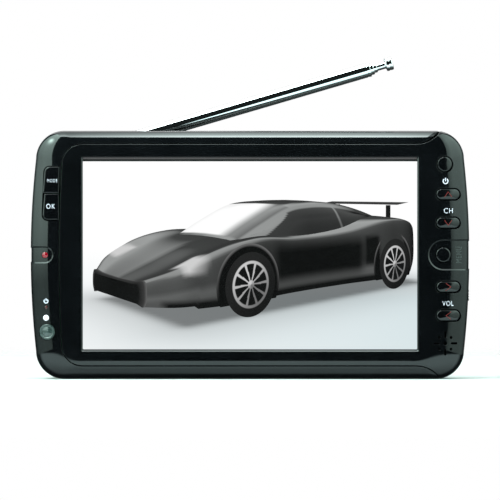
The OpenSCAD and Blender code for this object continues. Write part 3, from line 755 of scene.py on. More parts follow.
def key_outline(low, high, top_corner=True, low_corner=True):
    """The opening for the two left-hand keys, or one of the keys, from low to high."""
    left, left_at_top, right, r = -95.5, -94.7, SEAM_LEFT - 0.1, 2.4
    upper = [(left_at_top, high)]
    lower = [(left, low)]
    if top_corner:
        upper = arc(left_at_top + r, high - r, r, 90, 180, 10)
    if low_corner:
        lower = arc(left + r, low + r, r, 180, 270, 10)
    return np.vstack([
        [(right, low)],
        between((right, low), (right, high), 10),
        [(right, high)],
        between((right, high), upper[0], 6),
        upper,
        between(upper[-1], lower[0], 10),
        lower,
        between(lower[-1], (right, low), 6),
    ])


KEY_LOW, KEY_MID, KEY_HIGH = 73.3, 85.5, 97.8
BUTTON_GAP = 0.28
ROUND_R = 3.4
OBLONG = (11.0, 5.0)
# Where each oblong button is, and which way its chevron points.
OBLONG_BUTTONS = {
    "channel_up": (centre_mm("channel_up_button"), 90),
    "channel_down": (centre_mm("channel_down_button"), -90),
    "volume_up": (centre_mm("volume_up_button"), 0),
    "volume_down": (centre_mm("volume_down_button"), 180),
}


def make_front():
    """The front panel and the outer frame, cut from one shell along the seam."""
    shell = front_shell()
    outer = bpy.data.objects.new("outer_frame_moulding", shell.data.copy())
    panel = boolean(shell, mouth("keep", grown(panel_outline(), -PARTING_GAP), 0.25, sign=-1), "INTERSECT")
    panel.name = "front_panel_moulding"
    wide_gap = grown(panel_outline(0.75), 2 * PARTING_GAP)  # as dark as the photo's, so wider than the CAD's
    boolean(outer, mouth("drop", wide_gap, 0.1))

    holes = [mouth("hole", circle(at, ROUND_R + BUTTON_GAP, 64), 0.5) for at in (POWER, MENU)]
    size = np.array(OBLONG) + 2 * BUTTON_GAP
    for at, _ in OBLONG_BUTTONS.values():
        holes.append(mouth("hole", oblong(at, *size), 0.45))
    cut(panel, holes + grille_holes() + [picture_opening()])

    holes = [mouth("hole", circle(at, r, 40), 0.2) for at, r in (
        (CHARGE, 1.55), (POWER_LED, 0.75), (STATUS, 1.4), (REMOTE, 3.75)
    )]
    holes.append(mouth("hole", grown(key_outline(KEY_LOW, KEY_HIGH), BUTTON_GAP), 0.3))
    cut(outer, holes)
    for obj, node in ((panel, "front_panel"), (outer, "outer_frame")):
        smooth(obj, (FRONT_SKIN, BAND_SKIN))
        piece(obj, "case", GLOSS, [node])


def rear_cutters():
    """Everything cut into the back of the rear cover but the holes inside other cuts."""
    cuts = []

    def from_back(outline, r, floor_y, skin=BACK_VIEW):
        mirrored = np.asarray(outline) * [-1, 1]
        cuts.append(moved(mouth("cut", mirrored[::-1], r, -floor_y, skin), "back"))

    for (left, right, low, high, floor_y), steps in ((RECESS, 40), (POCKET, 20)):
        from_back(rounded_box(left, right, low, high, 1.0, 6, steps), 0.5, floor_y)
    pitch, slot_w, slot_h = 4.2, 26, 1.6
    for side in (-58, 58):
        for row in range(9):
            from_back(oblong((side, 40 + pitch * row), slot_w, slot_h, 6, 8), 0.3, BACK - 3, -BACK)
    label_place = rounded_box(-20, 20, 72, 94, 1.5, 5, 2)
    from_back(label_place, 0.1, BACK - 0.3, -BACK)
    for at in SCREWS:
        from_back(circle(at, SCREW_HEAD_R, 36), 0.4, SCREW_HEAD_Y)
    return cuts


def side_x(z):
    """How far the case's bulged sides reach at height z."""
    return HALF_W - (z - MID_Z) ** 2 / (2 * SIDE_BULGE_R)


def socket_cutters():
    """Openings in the left side for the sockets, and in the right side for the power switch."""
    cuts = []

    def from_side(way, outline, r, z):
        cuts.append(moved(mouth("socket", outline, r, -90, -side_x(z)), way))

    for node, r, y in (("dc_jack", 3.4, 3.1), ("earphone_jack", 3.1, 1.6), ("av_jack", 3.1, 1.6)):
        low, high = box_mm(node)
        z = (low[2] + high[2]) / 2
        from_side("left", circle((-y, z), r, 40), 0.25, z)
    for y0, y1, z0, z1 in ((-1.6, 4.6, 48, 62), (-1.1, 1.9, 66.5, 92)):
        from_side("left", rounded_box(-y1, -y0, z0, z1, 0.5, 5, 4), 0.2, (z0 + z1) / 2)
    from_side("right", rounded_box(-0.8, 2.8, 35.5, 44.5, 0.8, 5, 4), 0.2, 40)
    return cuts


def make_rear():
    """The rear cover: a shell with walls round the aerial recess and the stand pocket."""
    cover = loft("rear_cover_moulding", back_rings(0.0, PARTING + PARTING_GAP, EDGE_R))
    room = loft("room", back_rings(WALL, PARTING - 1))
    for left, right, low, high, floor_y in (RECESS, POCKET):
        low_corner, high_corner = (left - WALL, floor_y - WALL, low - WALL), (right + WALL, 20, high + WALL)
        boolean(room, block("walls", low_corner, high_corner))
    boolean(cover, room)
    posts = [straight("post", circle(at, SCREW_POST_R), 2, 10.5) for at in SCREWS]
    boolean(cover, joined("posts", posts), "UNION")
    cut(cover, rear_cutters() + socket_cutters())
    holes = [straight("hole", circle(PIVOT, PIVOT_HOLE_R), 0, 7)]
    holes += [straight("hole", circle(at, SCREW_R, 24), -5, 5) for at in SCREWS]
    cut(cover, holes)
    smooth(cover, (BACK_SKIN,))
    piece(cover, "case", REAR, ["rear_cover"])


# ---------- buttons, lenses and legends ----------


def cap(outline, proud, edge, crown, skin):
    """A moulded cap whose face follows a skin, with rounded edges and a slightly raised middle."""
    centre = outline.mean(0)
    rings = [placed(outline, BUTTON_BACK)]
    for a in quarter(5):
        ring = grown(outline, -edge * (1 - math.cos(a)))
        rings.append(on_case(ring, edge * (1 - math.sin(a)) - proud, skin))
    flat = grown(outline, -edge)
    for t in np.linspace(0, 1, 9)[1:]:
        size = max(math.cos(t * math.pi / 2), 0.004)
        ring = centre + (flat - centre) * size
        rings.append(on_case(ring, -proud - crown * (1 - size**2), skin))
    return loft("cap", rings[::-1])


def make_button(name, outline, flange, proud, edge, crown=0.0, skin=FRONT_SKIN):
    """A button's cap, and the flange behind it that keeps it in the case."""
    parts = [
        cap(outline, proud, edge, crown, skin),
        straight("flange", flange, BUTTON_BACK - 1, BUTTON_BACK - 0.01),
    ]
    obj = smooth(joined(f"{name}_cap", parts), crease=40)
    piece(obj, f"{name}_key", BUTTON, [f"{name}_button"])


def make_buttons():
    lip = 0.7  # how far a flange reaches past its button
    for name, at in (("power", POWER), ("menu", MENU)):
        make_button(name, circle(at, ROUND_R, 64), circle(at, ROUND_R + lip, 48), BUTTON_PROUD, 0.55, 0.05)
    reach = OBLONG[1] / 2 + lip
    for name, (at, _) in OBLONG_BUTTONS.items():
        left = at[0] - OBLONG[0] / 2 + 1.2
        flange = rounded_box(left, left + 7, at[1] - reach, at[1] + reach, 0.5, 3, 1)
        make_button(name, oblong(at, *OBLONG, 20, 10), flange, BUTTON_PROUD, 0.75, 0.2)
    split = 0.15
    upper = key_outline(KEY_MID + split, KEY_HIGH, True, False)
    lower = key_outline(KEY_LOW, KEY_MID - split, False, True)
    for name, outline, left, over, under in (("mode", upper, -94.6, lip, 0), ("ok", lower, -95.4, 0, lip)):
        low, high = outline[:, 1].min() - under, outline[:, 1].max() + over
        flange = rounded_box(left, SEAM_LEFT - 0.1, low, high, 0.3, 3, 1)
        make_button(name, outline, flange, KEY_PROUD, 0.5, skin=KEY_SKIN)


def make_lenses():
    for name, node, at, r, material, slot, edge, crown, skin in (
        ("charge", "charge_lens", CHARGE, 1.45, RED_LENS, "red_lens", 0.3, 0.25, BAND_SKIN),
        ("power_led", "power_lens", POWER_LED, 0.65, DARK_RED_LENS, "dark_red_lens", 0.15, 0.1, FRONT_SKIN),
        ("status", "status_lens", STATUS, 1.3, WHITE_LENS, "white_lens", 0.25, 0.1, FRONT_SKIN),
    ):
        face = cap(circle(at, r, 48), 0.0, edge, crown, skin)
        obj = smooth(joined(f"{name}_window", [face]), crease=40)
        piece(obj, "case", material, [node])


def make_remote_window():
    """The remote-control window: a rim, a shallow groove, and a dome."""
    steps = [
        (3.6, 0.0), (3.58, 0.25), (3.48, 0.38), (3.3, 0.42), (2.85, 0.42), (2.65, 0.34), (2.55, 0.18),
        (2.4, 0.14), (2.25, 0.2), (2.0, 0.3), (1.4, 0.42), (0.7, 0.48), (0.01, 0.5),
    ]  # (radius, rise), from the rim in
    rings = [placed(circle(REMOTE, steps[0][0], 56), BUTTON_BACK)]
    rings += [on_case(circle(REMOTE, r, 56), -rise) for r, rise in steps]
    obj = smooth(loft("remote_window", rings[::-1]), crease=50)
    piece(obj, "case", GREY_LENS, ["remote_lens"])


def inlay(name, mesh, body, material, proud, thick=0.12, skin=FRONT_SKIN):
    """Lays a flat mesh drawn in x and z on the case, as a thin closed layer."""
    bm = bmesh.new()
    bm.from_mesh(mesh)
    bmesh.ops.triangulate(bm, faces=bm.faces)
    long_ones = [e for e in bm.edges if e.calc_length() > 0.5 * MM]
    bmesh.ops.subdivide_edges(bm, edges=long_ones, cuts=2)
    bmesh.ops.recalc_face_normals(bm, faces=bm.faces)
    if bm.faces and sum(f.normal.y * f.calc_area() for f in bm.faces) > 0:
        bmesh.ops.reverse_faces(bm, faces=bm.faces)
    sunk = list(bm.verts)
    extruded = bmesh.ops.extrude_face_region(bm, geom=list(bm.faces), use_keep_orig=True)
    lifted = [v for v in extruded["geom"] if isinstance(v, bmesh.types.BMVert)]
    for verts, depth in ((lifted, -proud), (sunk, thick - proud)):
        for v in verts:
            v.co.y = (face_of_case((v.co.x / MM, v.co.z / MM), skin)[0] + depth) * MM
    bmesh.ops.recalc_face_normals(bm, faces=bm.faces)
    out = bpy.data.meshes.new(name)
    bm.to_mesh(out)
    bm.free()
    obj = link(bpy.data.objects.new(name, out))
    return piece(obj, body, material)


def flat_mesh(shapes):
    """One flat mesh in x and z from closed outlines in millimetres."""
    verts, faces = [], []
    for shape in shapes:
        faces.append(list(range(len(verts), len(verts) + len(shape))))
        verts += [(x * MM, 0, z * MM) for x, z in shape]
    mesh = bpy.data.meshes.new("flat")
    mesh.from_pydata(verts, [], faces)
    return mesh


def letters(text, at, width, height, turn=0.0, spacing=1.12):
    """A flat mesh of generic lettering, centred on at and fitted to its size."""
    curve = bpy.data.curves.new("letters", "FONT")
    curve.body = text
    curve.offset = -0.008
    curve.space_character = spacing
    obj = link(bpy.data.objects.new("letters", curve))
    graph = bpy.context.evaluated_depsgraph_get()
    mesh = bpy.data.meshes.new_from_object(obj.evaluated_get(graph))
    bpy.data.objects.remove(obj)
    points = np.array([v.co[:2] for v in mesh.vertices])
    points = (points - (points.max(0) + points.min(0)) / 2) / np.ptp(points, axis=0)
    points = turned(points * [width, height], turn) + at
    mesh.vertices.foreach_set("co", (placed(points, 0.0) * MM).ravel())
    return mesh


def stroke(a, b, width):
    """The outline of a straight stroke from a to b."""
    a, b = np.array(a, float), np.array(b, float)
    run = (b - a) / np.linalg.norm(b - a) * width / 2
    side = np.array([-run[1], run[0]])
    return np.array([a - side - run, b - side + run, b + side + run, a + side - run])


def power_sign(at, r, width):
    """A broken ring with a bar in its gap."""
    outer, inner = arc(*at, r, 125, 415, 36), arc(*at, r - width, 415, 125, 36)
    return flat_mesh([np.vstack([outer, inner]), stroke(at + [0, r * 0.1], at + [0, r], width)])


def chevron(at, turn):
    """Two strokes that meet in a point, drawn pointing right and then turned."""
    half_w, half_h = 1.15, 1.65
    ends = turned(np.array([(-half_w, half_h), (half_w, 0), (-half_w, -half_h)]), turn) + at
    return flat_mesh([stroke(ends[0], ends[1], 0.24), stroke(ends[1], ends[2], 0.24)])


def make_legends():
    """Printed marks for what each control does, in a plain face."""
    inlay("power_mark", power_sign(POWER + [0.35, -7.8], 1.35, 0.42), "case", INK, 0.02)
    channel_at = OBLONG_BUTTONS["channel_up"][0] + [0.1, -7.5]
    volume_at = OBLONG_BUTTONS["volume_down"][0] + [-0.2, 5.6]
    inlay("channel_mark", letters("CH", channel_at, 4.1, 2.3), "case", INK, 0.02)
    inlay("volume_mark", letters("VOL", volume_at, 5.2, 2.2), "case", INK, 0.02)
    on_key = KEY_PROUD + 0.02
    key_x = -91.0
    mode = letters("MODE", (key_x, 91.4), 4.6, 1.5, spacing=1.3)
    inlay("mode_mark", mode, "mode_key", INK, on_key, skin=KEY_SKIN)
    ok = letters("OK", (key_x - 0.7, 79.6), 4.0, 2.2, spacing=1.25)
    inlay("ok_mark", ok, "ok_key", INK, on_key, skin=KEY_SKIN)
    mark = letters("MENU", MENU + [7.2, 0], 7.4, 2.6, 90)
    inlay("menu_mark", mark, "case", SHADE_INK, 0.02, skin=BAND_SKIN)
    inlay("led_mark", power_sign(POWER_LED + [0, 2.8], 1.1, 0.36), "case", INK, 0.02)
    raised = BUTTON_PROUD + 0.26
    for name, (at, turn) in OBLONG_BUTTONS.items():
        inlay(f"{name}_arrow", chevron(at, turn), f"{name}_key", RED_INK, raised, 0.2)


# ---------- picture ----------


def smooth_run(keys, x):
    """A smooth curve through (x, value) keys."""
    kx, kv = np.array(keys, float).T
    slope = np.gradient(kv, kx)
    i = np.clip(np.searchsorted(kx, x) - 1, 0, len(kx) - 2)
    h = kx[i + 1] - kx[i]
    t = np.clip((x - kx[i]) / h, 0, 1)
    rise = (2 * t**3 - 3 * t**2 + 1) * kv[i] + (3 * t**2 - 2 * t**3) * kv[i + 1]
    return rise + ((t**3 - 2 * t**2 + t) * slope[i] + (t**3 - t**2) * slope[i + 1]) * h


class CarPicture:
    """A plain coupe of no make, in metres, seen in perspective and pressed flat behind the glass."""

    turn = cos_sin(40)
    eye_height = 1.3
    near_depth = 5.6  # from the eye to the near front wheel
    scale = 241.0
    horizon = 85.0  # height of the eye's level in the picture, in millimetres
    axle, track, wheel_r = 1.3, 0.97, 0.345

    def __init__(self, glass_y):
        self.glass_y = glass_y
        self.verts, self.faces, self.tones = [], [], []

    def seen(self, p):
        """Sideways, depth and height of car points, from the eye."""
        dx, dy = p[..., 0] - self.axle, p[..., 1] - self.track
        c, s = self.turn
        return -0.02 - c * dx + s * dy, self.near_depth - s * dx - c * dy, p[..., 2]

    def add_grid(self, points, tones, lift=0.0):
        """Adds a grid of car points with a tone each; nearer parts lie in front, and lift helps."""
        across, depth, height = self.seen(points)
        x = self.scale * across / depth
        z = self.horizon - self.scale * (self.eye_height - height) / depth
        y = self.glass_y - 0.05 - 0.3 * (8.8 - depth) / 4.0 - lift
        self.add_flat(np.stack([x, y, z], -1), tones)

    def add_flat(self, points, tones):
        base = len(self.verts)
        rows, cols = points.shape[:2]
        self.verts += points.reshape(-1, 3).tolist()
        self.tones += np.clip(tones, 0, 1).reshape(-1, tones.shape[-1]).tolist()
        for i in range(rows - 1):
            for j in range(cols - 1):
                k = base + i * cols + j
                self.faces.append([k, k + 1, k + cols + 1, k + cols])
        self.close_back(base + np.arange(rows * cols).reshape(rows, cols))

    def close_back(self, grid):
        """Joins the rim of the last grid to a flat back just in front of the glass."""
        rim = [*grid[0, :-1], *grid[:-1, -1], *grid[-1, :0:-1], *grid[:0:-1, 0]]
        base, count = len(self.verts), len(rim)
        self.verts += [[self.verts[k][0], self.glass_y + 0.015, self.verts[k][2]] for k in rim]
        self.tones += [self.tones[k] for k in rim]
        for i in range(count):
            j = (i + 1) % count
            self.faces.append([rim[j], rim[i], base + i, base + j])
        self.faces.append([base + i for i in reversed(range(count))])

    def sheen(self, points, paint, gloss):
        """Tone of a polished surface in a white studio with a dark horizon."""
        along, across = np.gradient(points, axis=0), np.gradient(points, axis=1)
        normal = np.cross(along, across)
        normal /= np.maximum(np.linalg.norm(normal, axis=-1, keepdims=True), 1e-9)
        c, s = self.turn
        sideways, depth, height = self.seen(points)
        eye = np.stack([c * sideways + s * depth, c * depth - s * sideways, self.eye_height - height], -1)
        eye /= np.linalg.norm(eye, axis=-1, keepdims=True)
        facing = (normal * eye).sum(-1)
        normal = np.where(facing[..., None] < 0, -normal, normal)
        facing = np.abs(facing)
        bounce = 2 * facing[..., None] * normal - eye
        up = bounce[..., 2]
        sky = np.clip((up - 0.34) / 0.22, 0, 1) * (0.6 + 0.5 * np.clip(up, 0, 1))
        floor = np.clip((-up - 0.16) / 0.2, 0, 1) * 0.42
        fresnel = gloss + (1 - gloss) * (1 - facing) ** 4
        lit = np.clip(normal @ np.array([0.52, 0.60, 0.61]), 0, 1) ** 3
        tone = paint * (0.2 + 6.0 * lit) + fresnel * (sky + floor)
        return tone[..., None] * [0.97, 1.0, 0.99]

    def mirrored(self, x, sections):
        """A grid of car points over both halves, from the near half's (out, up) sections along x."""
        near = np.dstack([np.repeat(x[:, None], len(sections[0]), 1), sections])
        return np.concatenate([near, (near * [1, -1, 1])[:, ::-1][:, 1:]], 1)

    def body(self):
        """The painted body, its lamps and dark openings, and the front under its nose."""
        x = np.linspace(-2.1, 2.32, 110)
        half = smooth_run([
            (-2.1, 0.80), (-1.85, 0.93), (-1.3, 1.0), (-0.4, 0.93), (0.6, 0.92), (1.3, 0.99),
            (1.8, 0.95), (2.15, 0.82), (2.32, 0.62)
        ], x)
        belt = smooth_run([
            (-2.1, 0.84), (-1.6, 0.95), (-1.2, 0.96), (-0.4, 0.84), (0.5, 0.80), (1.15, 0.82),
            (1.6, 0.74), (2.1, 0.54), (2.32, 0.43)
        ], x)
        spine = smooth_run([
            (-2.1, 0.88), (-1.6, 0.99), (-1.0, 1.0), (1.0, 0.80), (1.5, 0.70), (2.0, 0.52), (2.32, 0.40)
        ], x)
        sill = 0.14 + 0.03 * (x > 1.9)
        v = np.linspace(0, 1, 41)
        keys = [0, 0.14, 0.34, 0.52, 0.62, 0.8, 1.0]
        rows = []
        for w, b, m, low in zip(half, belt, spine, sill):
            out = smooth_run(list(zip(keys, [0.93, 0.985, 1.0, 0.975, 0.93, 0.6, 0.0])), v) * w
            tall = b - low
            heights = [low, low + tall * 0.22, low + tall * 0.6, b - 0.03, b, b * 0.35 + m * 0.65, m]
            up = smooth_run(list(zip(keys, heights)), v)
            rows.append(np.column_stack([out, up]))
        whole = self.mirrored(x, rows)
        tones = self.sheen(whole, 0.022, 0.15)
        place, height = whole[..., 0], whole[..., 2]
        side = np.abs(whole[..., 1])

        def mark(tone, soft, *limits):
            """Blends a tone in where every (values, low, high) holds, with soft edges."""
            share = np.ones(place.shape)
            for values, low, high in limits:
                share *= np.clip((values - low) / soft, 0, 1) * np.clip((high - values) / soft, 0, 1)
            tones[:] += share[..., None] * (tone - tones)

        mark(0.62, 0.06, (place, 1.74, 2.08), (side, 0.62, 0.95), (height, 0.47, 0.70))
        mark(0.004, 0.06, (place, -1.02, -0.70), (side, 0.8, 1.2), (height, 0.34, 0.78))
        mark(0.003, 0.16, (place, -0.78, 0.95), (side, 0.7, 1.3), (height, 0.22, 0.80))
        mark(0.004, 0.06, (place, -3, 2.3), (side, 0.7, 1.2), (height, 0, 0.26))
        shut = (np.abs(place - 0.72) < 0.018) | (np.abs(place + 0.62) < 0.018)
        shut &= (height > 0.26) & (side > 0.8)
        tones[shut] *= 0.25
        self.add_grid(whole, tones)
        nose = whole[-1]
        inner = nose * [1, 0.86, 0.72] + [0.05, 0, 0.075]
        front = np.stack([nose, nose + [0.03, 0, 0], inner, inner * [1, 0, 1]])
        shade = np.zeros(front.shape) + np.array([0.12, 0.04, 0.006, 0.004])[:, None, None]
        self.add_grid(front, shade, 0.08)

    def cabin(self):
        """Roof and pillars, with windows and a windscreen that are only toned."""
        x = np.linspace(-1.75, 1.22, 90)
        top = smooth_run([
            (-1.75, 0.97), (-1.2, 1.09), (-0.5, 1.20), (0.0, 1.215), (0.35, 1.18), (0.8, 1.0), (1.22, 0.79)
        ], x)
        base = smooth_run([(-1.75, 0.5), (-1.0, 0.76), (0.0, 0.84), (0.7, 0.82), (1.22, 0.66)], x)
        roof = smooth_run([(-1.75, 0.40), (-1.0, 0.54), (0.0, 0.60), (0.7, 0.62), (1.22, 0.60)], x)
        foot = smooth_run([(-1.75, 0.90), (-1.2, 0.92), (-0.4, 0.80), (0.5, 0.76), (1.22, 0.77)], x)
        v = np.linspace(0, 1, 31)
        keys = [0, 0.3, 0.6, 0.68, 0.8, 1.0]
        rows = []
        for w, r, t, f in zip(base, roof, top, foot):
            out = smooth_run(list(zip(keys, [w, w * 0.6 + r * 0.4, r + 0.04, r - 0.02, r * 0.6, 0])), v)
            up = smooth_run(list(zip(keys, [f, f * 0.5 + t * 0.5, t - 0.07, t - 0.02, t, t + 0.01])), v)
            rows.append(np.column_stack([out, up]))
        whole = self.mirrored(x, rows)
        tones = self.sheen(whole, 0.02, 0.17)
        glass = self.sheen(whole, 0.008, 0.05)
        place, side = whole[..., 0], np.concatenate([v, v[::-1][1:]])[None, :]
        windscreen = (place > 0.36) & (place < 1.16) & (side > 0.66)
        window = (place > -1.25 - 0.4 * side) & (place < 0.98 - 0.95 * side) & (side > 0.06) & (side < 0.6)
        window &= np.abs(place + 0.45) > 0.03
        glare = 0.02 + 0.85 * np.clip((0.42 - whole[..., 1]) / 0.22, 0, 1)[..., None]
        tones[windscreen] = (glass * 1.2 + glare)[windscreen]
        tones[window] = glass[window] * 0.4 + 0.006
        self.add_grid(whole, tones)

    def wing(self):
        """A plain rear wing on two struts."""
        ends = np.meshgrid([-2.04, -2.0, -1.74], np.linspace(-0.76, 0.76, 12), indexing="ij")
        plate = np.stack([*ends, 1.15 + 0.12 * (-1.74 - ends[0])], -1)
        tones = np.zeros(plate.shape) + np.array([0.30, 0.05, 0.03])[:, None, None]
        for side in (-0.5, 0.5):
            strut = np.stack(np.meshgrid([-1.94, -1.82], [side], [0.9, 1.14], indexing="ij"), -1)[:, 0]
            self.add_grid(strut, np.full(strut.shape, 0.008))
        self.add_grid(plate, tones)

    def wheel(self, x):
        """A dark arch, and in front of it a tyre round a spoked rim."""
        turn, out = np.meshgrid(np.linspace(0, 2 * math.pi, 141), np.linspace(0, 1, 36), indexing="ij")

        def disc(r, y, low=0.0):
            z = self.wheel_r + out * r * np.sin(turn)
            return np.stack([x + out * r * np.cos(turn), y + 0 * out, np.maximum(z, low)], -1)

        lip = np.clip((out - 0.93) / 0.03, 0, 1) * np.clip(np.sin(turn) + 0.3, 0, 1)
        arch = np.repeat((0.003 + 0.12 * lip)[..., None], 3, -1)
        self.add_grid(disc(0.435, self.track + 0.02, 0.15), arch)
        r = out * self.wheel_r
        spokes = (np.cos(10 * turn + 0.4) > 0.5 + 0.4 * out) & (r > 0.04) & (r < 0.235)
        rim = ((r > 0.225) & (r < 0.25)) | (r < 0.045)
        light = 0.5 + 0.4 * np.sin(turn + 0.6)
        tone = np.where(spokes | rim, 0.10 + 0.55 * light, 0.005)
        tone = np.where(r > 0.255, 0.006 + 0.012 * light, tone)
        self.add_grid(disc(self.wheel_r, self.track + 0.05), np.repeat(tone[..., None], 3, -1))

    def backdrop(self, half_w, low, high):
        """White above the horizon, and a pale floor with the car's soft shadow below it."""
        x, z = np.meshgrid(np.linspace(-half_w, half_w, 121), np.linspace(low, high, 81), indexing="ij")
        drop = np.maximum(self.horizon - z, 0.5)
        depth = self.scale * self.eye_height / drop
        across = x * depth / self.scale
        c, s = self.turn
        a, d = across + 0.02, depth - self.near_depth
        dx, dy = -c * a - s * d + self.axle, s * a - c * d + self.track
        far_out = np.hypot(np.maximum(np.abs(dx) - 2.0, 0), np.maximum(np.abs(dy) - 0.85, 0))
        shade = 0.86 * np.exp(-((far_out / 0.16) ** 2)) * 0.55 + 0.30 * np.exp(-((far_out / 0.75) ** 2))
        shade = shade * np.clip((self.horizon - z - 22) / 6, 0, 1)
        level = np.clip((MID_Z + 2 - z) / 22, 0, 1) * (1 + 0.45 * x / half_w)
        white = 1.0 - level[..., None] * [0.21, 0.145, 0.13]
        self.add_flat(np.stack([x, 0 * x + self.glass_y, z], -1), white * (1 - shade[..., None]))

    def build(self, name):
        """The picture as one mesh whose points carry their tone."""
        mesh = bpy.data.meshes.new(name)
        mesh.from_pydata((np.array(self.verts) * MM).tolist(), [], self.faces)
        colours = mesh.color_attributes.new("tone", "FLOAT_COLOR", "POINT")
        tones = np.column_stack([np.array(self.tones), np.ones(len(self.tones))])
        colours.data.foreach_set("color", tones.ravel())
        bm = bmesh.new()
        bm.from_mesh(mesh)
        bmesh.ops.recalc_face_normals(bm, faces=bm.faces)
        bm.to_mesh(mesh)
        bm.free()
        return bpy.data.objects.new(name, mesh)


def make_picture():
    """The display's glass sheet, and the picture it shows."""
    low, high = box_mm("display_glass")
    edge = rounded_box(low[0], high[0], low[2], high[2], 0.6, 4, 2)
    sheet = drawn("display_sheet", edge, (low[1] + 0.02, -0.15), (low[1] + 0.17, 0), (high[1], 0))
    piece(smooth(sheet), "case", DULL, ["display_glass"])
    picture = CarPicture(low[1])
    picture.backdrop(78.2, MID_Z - 44.4, MID_Z + 43.1)
    picture.wing()
    picture.body()
    picture.cabin()
    for x in (-picture.axle, picture.axle):
        picture.wheel(x)
    piece(picture.build("display_picture"), "case", PICTURE)


# ---------- aerial ----------

AERIAL_ANGLE = 16.3
TUBE_END = 130.7  # from the pivot to the open end of the outer tube
LIP = 1.6  # how far each inner tube stands out of the one round it


def lathe(name, profile):
    """A turned part along +X from (distance, radius) pairs."""
    rings = [placed(circle((0, 0), max(r, 0.01), 56), s) for s, r in profile]
    return moved(loft(name, rings), "left")


def to_pivot(obj):
    """From the aerial's own axes, with X along its tubes, to its place on the case."""
    low, high = box_mm("aerial_tip")
    c, s = cos_sin(AERIAL_ANGLE)
    return moved(obj, ((c, 0, -s), (0, 1, 0), (s, 0, c)), (PIVOT[0], (low[1] + high[1]) / 2, PIVOT[1]))


def rounded(s, r, edge, way):
    """(distance, radius) pairs that round the corner where a cylinder of radius r ends at s.

    With way 1 the corner is the far end, and with way -1 the near end.
    """
    return [
        (s - way * edge * (1 - math.cos(a)), r - edge * (1 - math.sin(a))) for a in quarter(5)[::-way]
    ]


def tube_profile(start, end, r, bore):
    """A drawn tube, closed at its start, with a rolled lip at its open end."""
    lip_r, neck = 0.14, 0.5
    roll = [(end - 1.9, r), (end - 1.75, r - lip_r), (end - neck - 0.9, r - lip_r), (end - 1.2, r)]
    return (
        [(start, 0.0)] + rounded(start, r, 0.6, -1) + roll + rounded(end, r, 0.22, 1)
        + [(end, bore + 0.08), (end - 0.1, bore), (start + 2, bore), (start + 2, 0.0)]
    )


def make_aerial():
    """Three tubes and a tip that slide out of each other; a tang joins the outer one to its pin."""
    tube = lathe("tube", tube_profile(5.0, TUBE_END, 3.3, 2.85))
    tang = rounded_box(-2.4, 2.4, -2.4, 5.6, 2.39, 12, 1)
    tang = np.column_stack([tang[:, 1], -tang[:, 0]])
    tang = moved(drawn("tang", tang, (-1.35, -0.2), (-1.15, 0), (1.15, 0), (1.35, -0.2)), "along_z")
    second = lathe("second_tube", tube_profile(8, TUBE_END + LIP, 2.75, 2.3))
    third = lathe("third_tube", tube_profile(10, TUBE_END + 2 * LIP, 2.2, 1.75))
    for obj, body, node in (
        (joined("outer_tube", [tube, tang]), "aerial_arm", "aerial_tube"),
        (second, "aerial_mid", "aerial_section_2"),
        (third, "aerial_inner", "aerial_section_3"),
        (lathe("tip_rod", tip_profile(TUBE_END + 2 * LIP)), "aerial_end", "aerial_tip"),
    ):
        piece(smooth(to_pivot(obj), crease=50), body, CHROME, [node])


def tip_profile(mouth_end):
    """A solid rod with a turned knob on its end."""
    rod_r, knob_r, knob_length, neck = 1.65, 3.08, 3.4, 4.2
    start, knob = 12.0, mouth_end + neck
    profile = [(start, 0.0)] + rounded(start, rod_r, 0.3, -1)
    profile += [(knob - 0.3, rod_r), (knob, rod_r + 0.3)]
    profile += rounded(knob, knob_r, 0.55, -1)
    middle = knob + knob_length / 2
    profile += [(middle - 0.35, knob_r), (middle - 0.2, knob_r - 0.15), (middle + 0.2, knob_r - 0.15)]
    profile += [(middle + 0.35, knob_r)] + rounded(knob + knob_length, knob_r, 0.55, 1)
    return profile + [(knob + knob_length, 0.0)]


def make_swivel():
    """The turning foot of the aerial, with a fork for its hinge pin."""
    low, _ = box_mm("aerial_swivel")
    foot_y = low[1] + 3.1
    disc = [(foot_y, 4.15), (foot_y + 0.15, 4.4), (foot_y + 0.4, 4.5), (foot_y + 1.0, 4.5)]
    disc += [(foot_y + 1.35, 4.4), (foot_y + 1.5, 4.1)]
    shaft = [(low[1], 2.3), (low[1] + 0.2, 2.5), (foot_y + 0.05, 2.5)]
    parts = [loft("turned", [placed(circle(PIVOT, r, 56), y) for y, r in run]) for run in (disc, shaft)]
    inner, outer, r = 1.5, 3.1, 2.8
    ear = np.vstack([arc(0, 0, r, 180, 360, 24), [(r, 3.7), (-r, 3.7)]])
    depths = [(-0.25, inner), (0.0, inner + 0.2), (0.0, outer - 0.3), (-0.3, outer)]
    for side in (-1, 1):
        rings = [placed(grown(ear, out), side * z) for out, z in depths]
        parts.append(to_pivot(moved(loft("ear", rings if side > 0 else rings[::-1]), "along_z")))
    obj = joined("swivel_fork", parts)
    smooth(obj, crease=40)
    piece(obj, "aerial_base", CHROME, ["aerial_swivel"])


# ---------- stand ----------


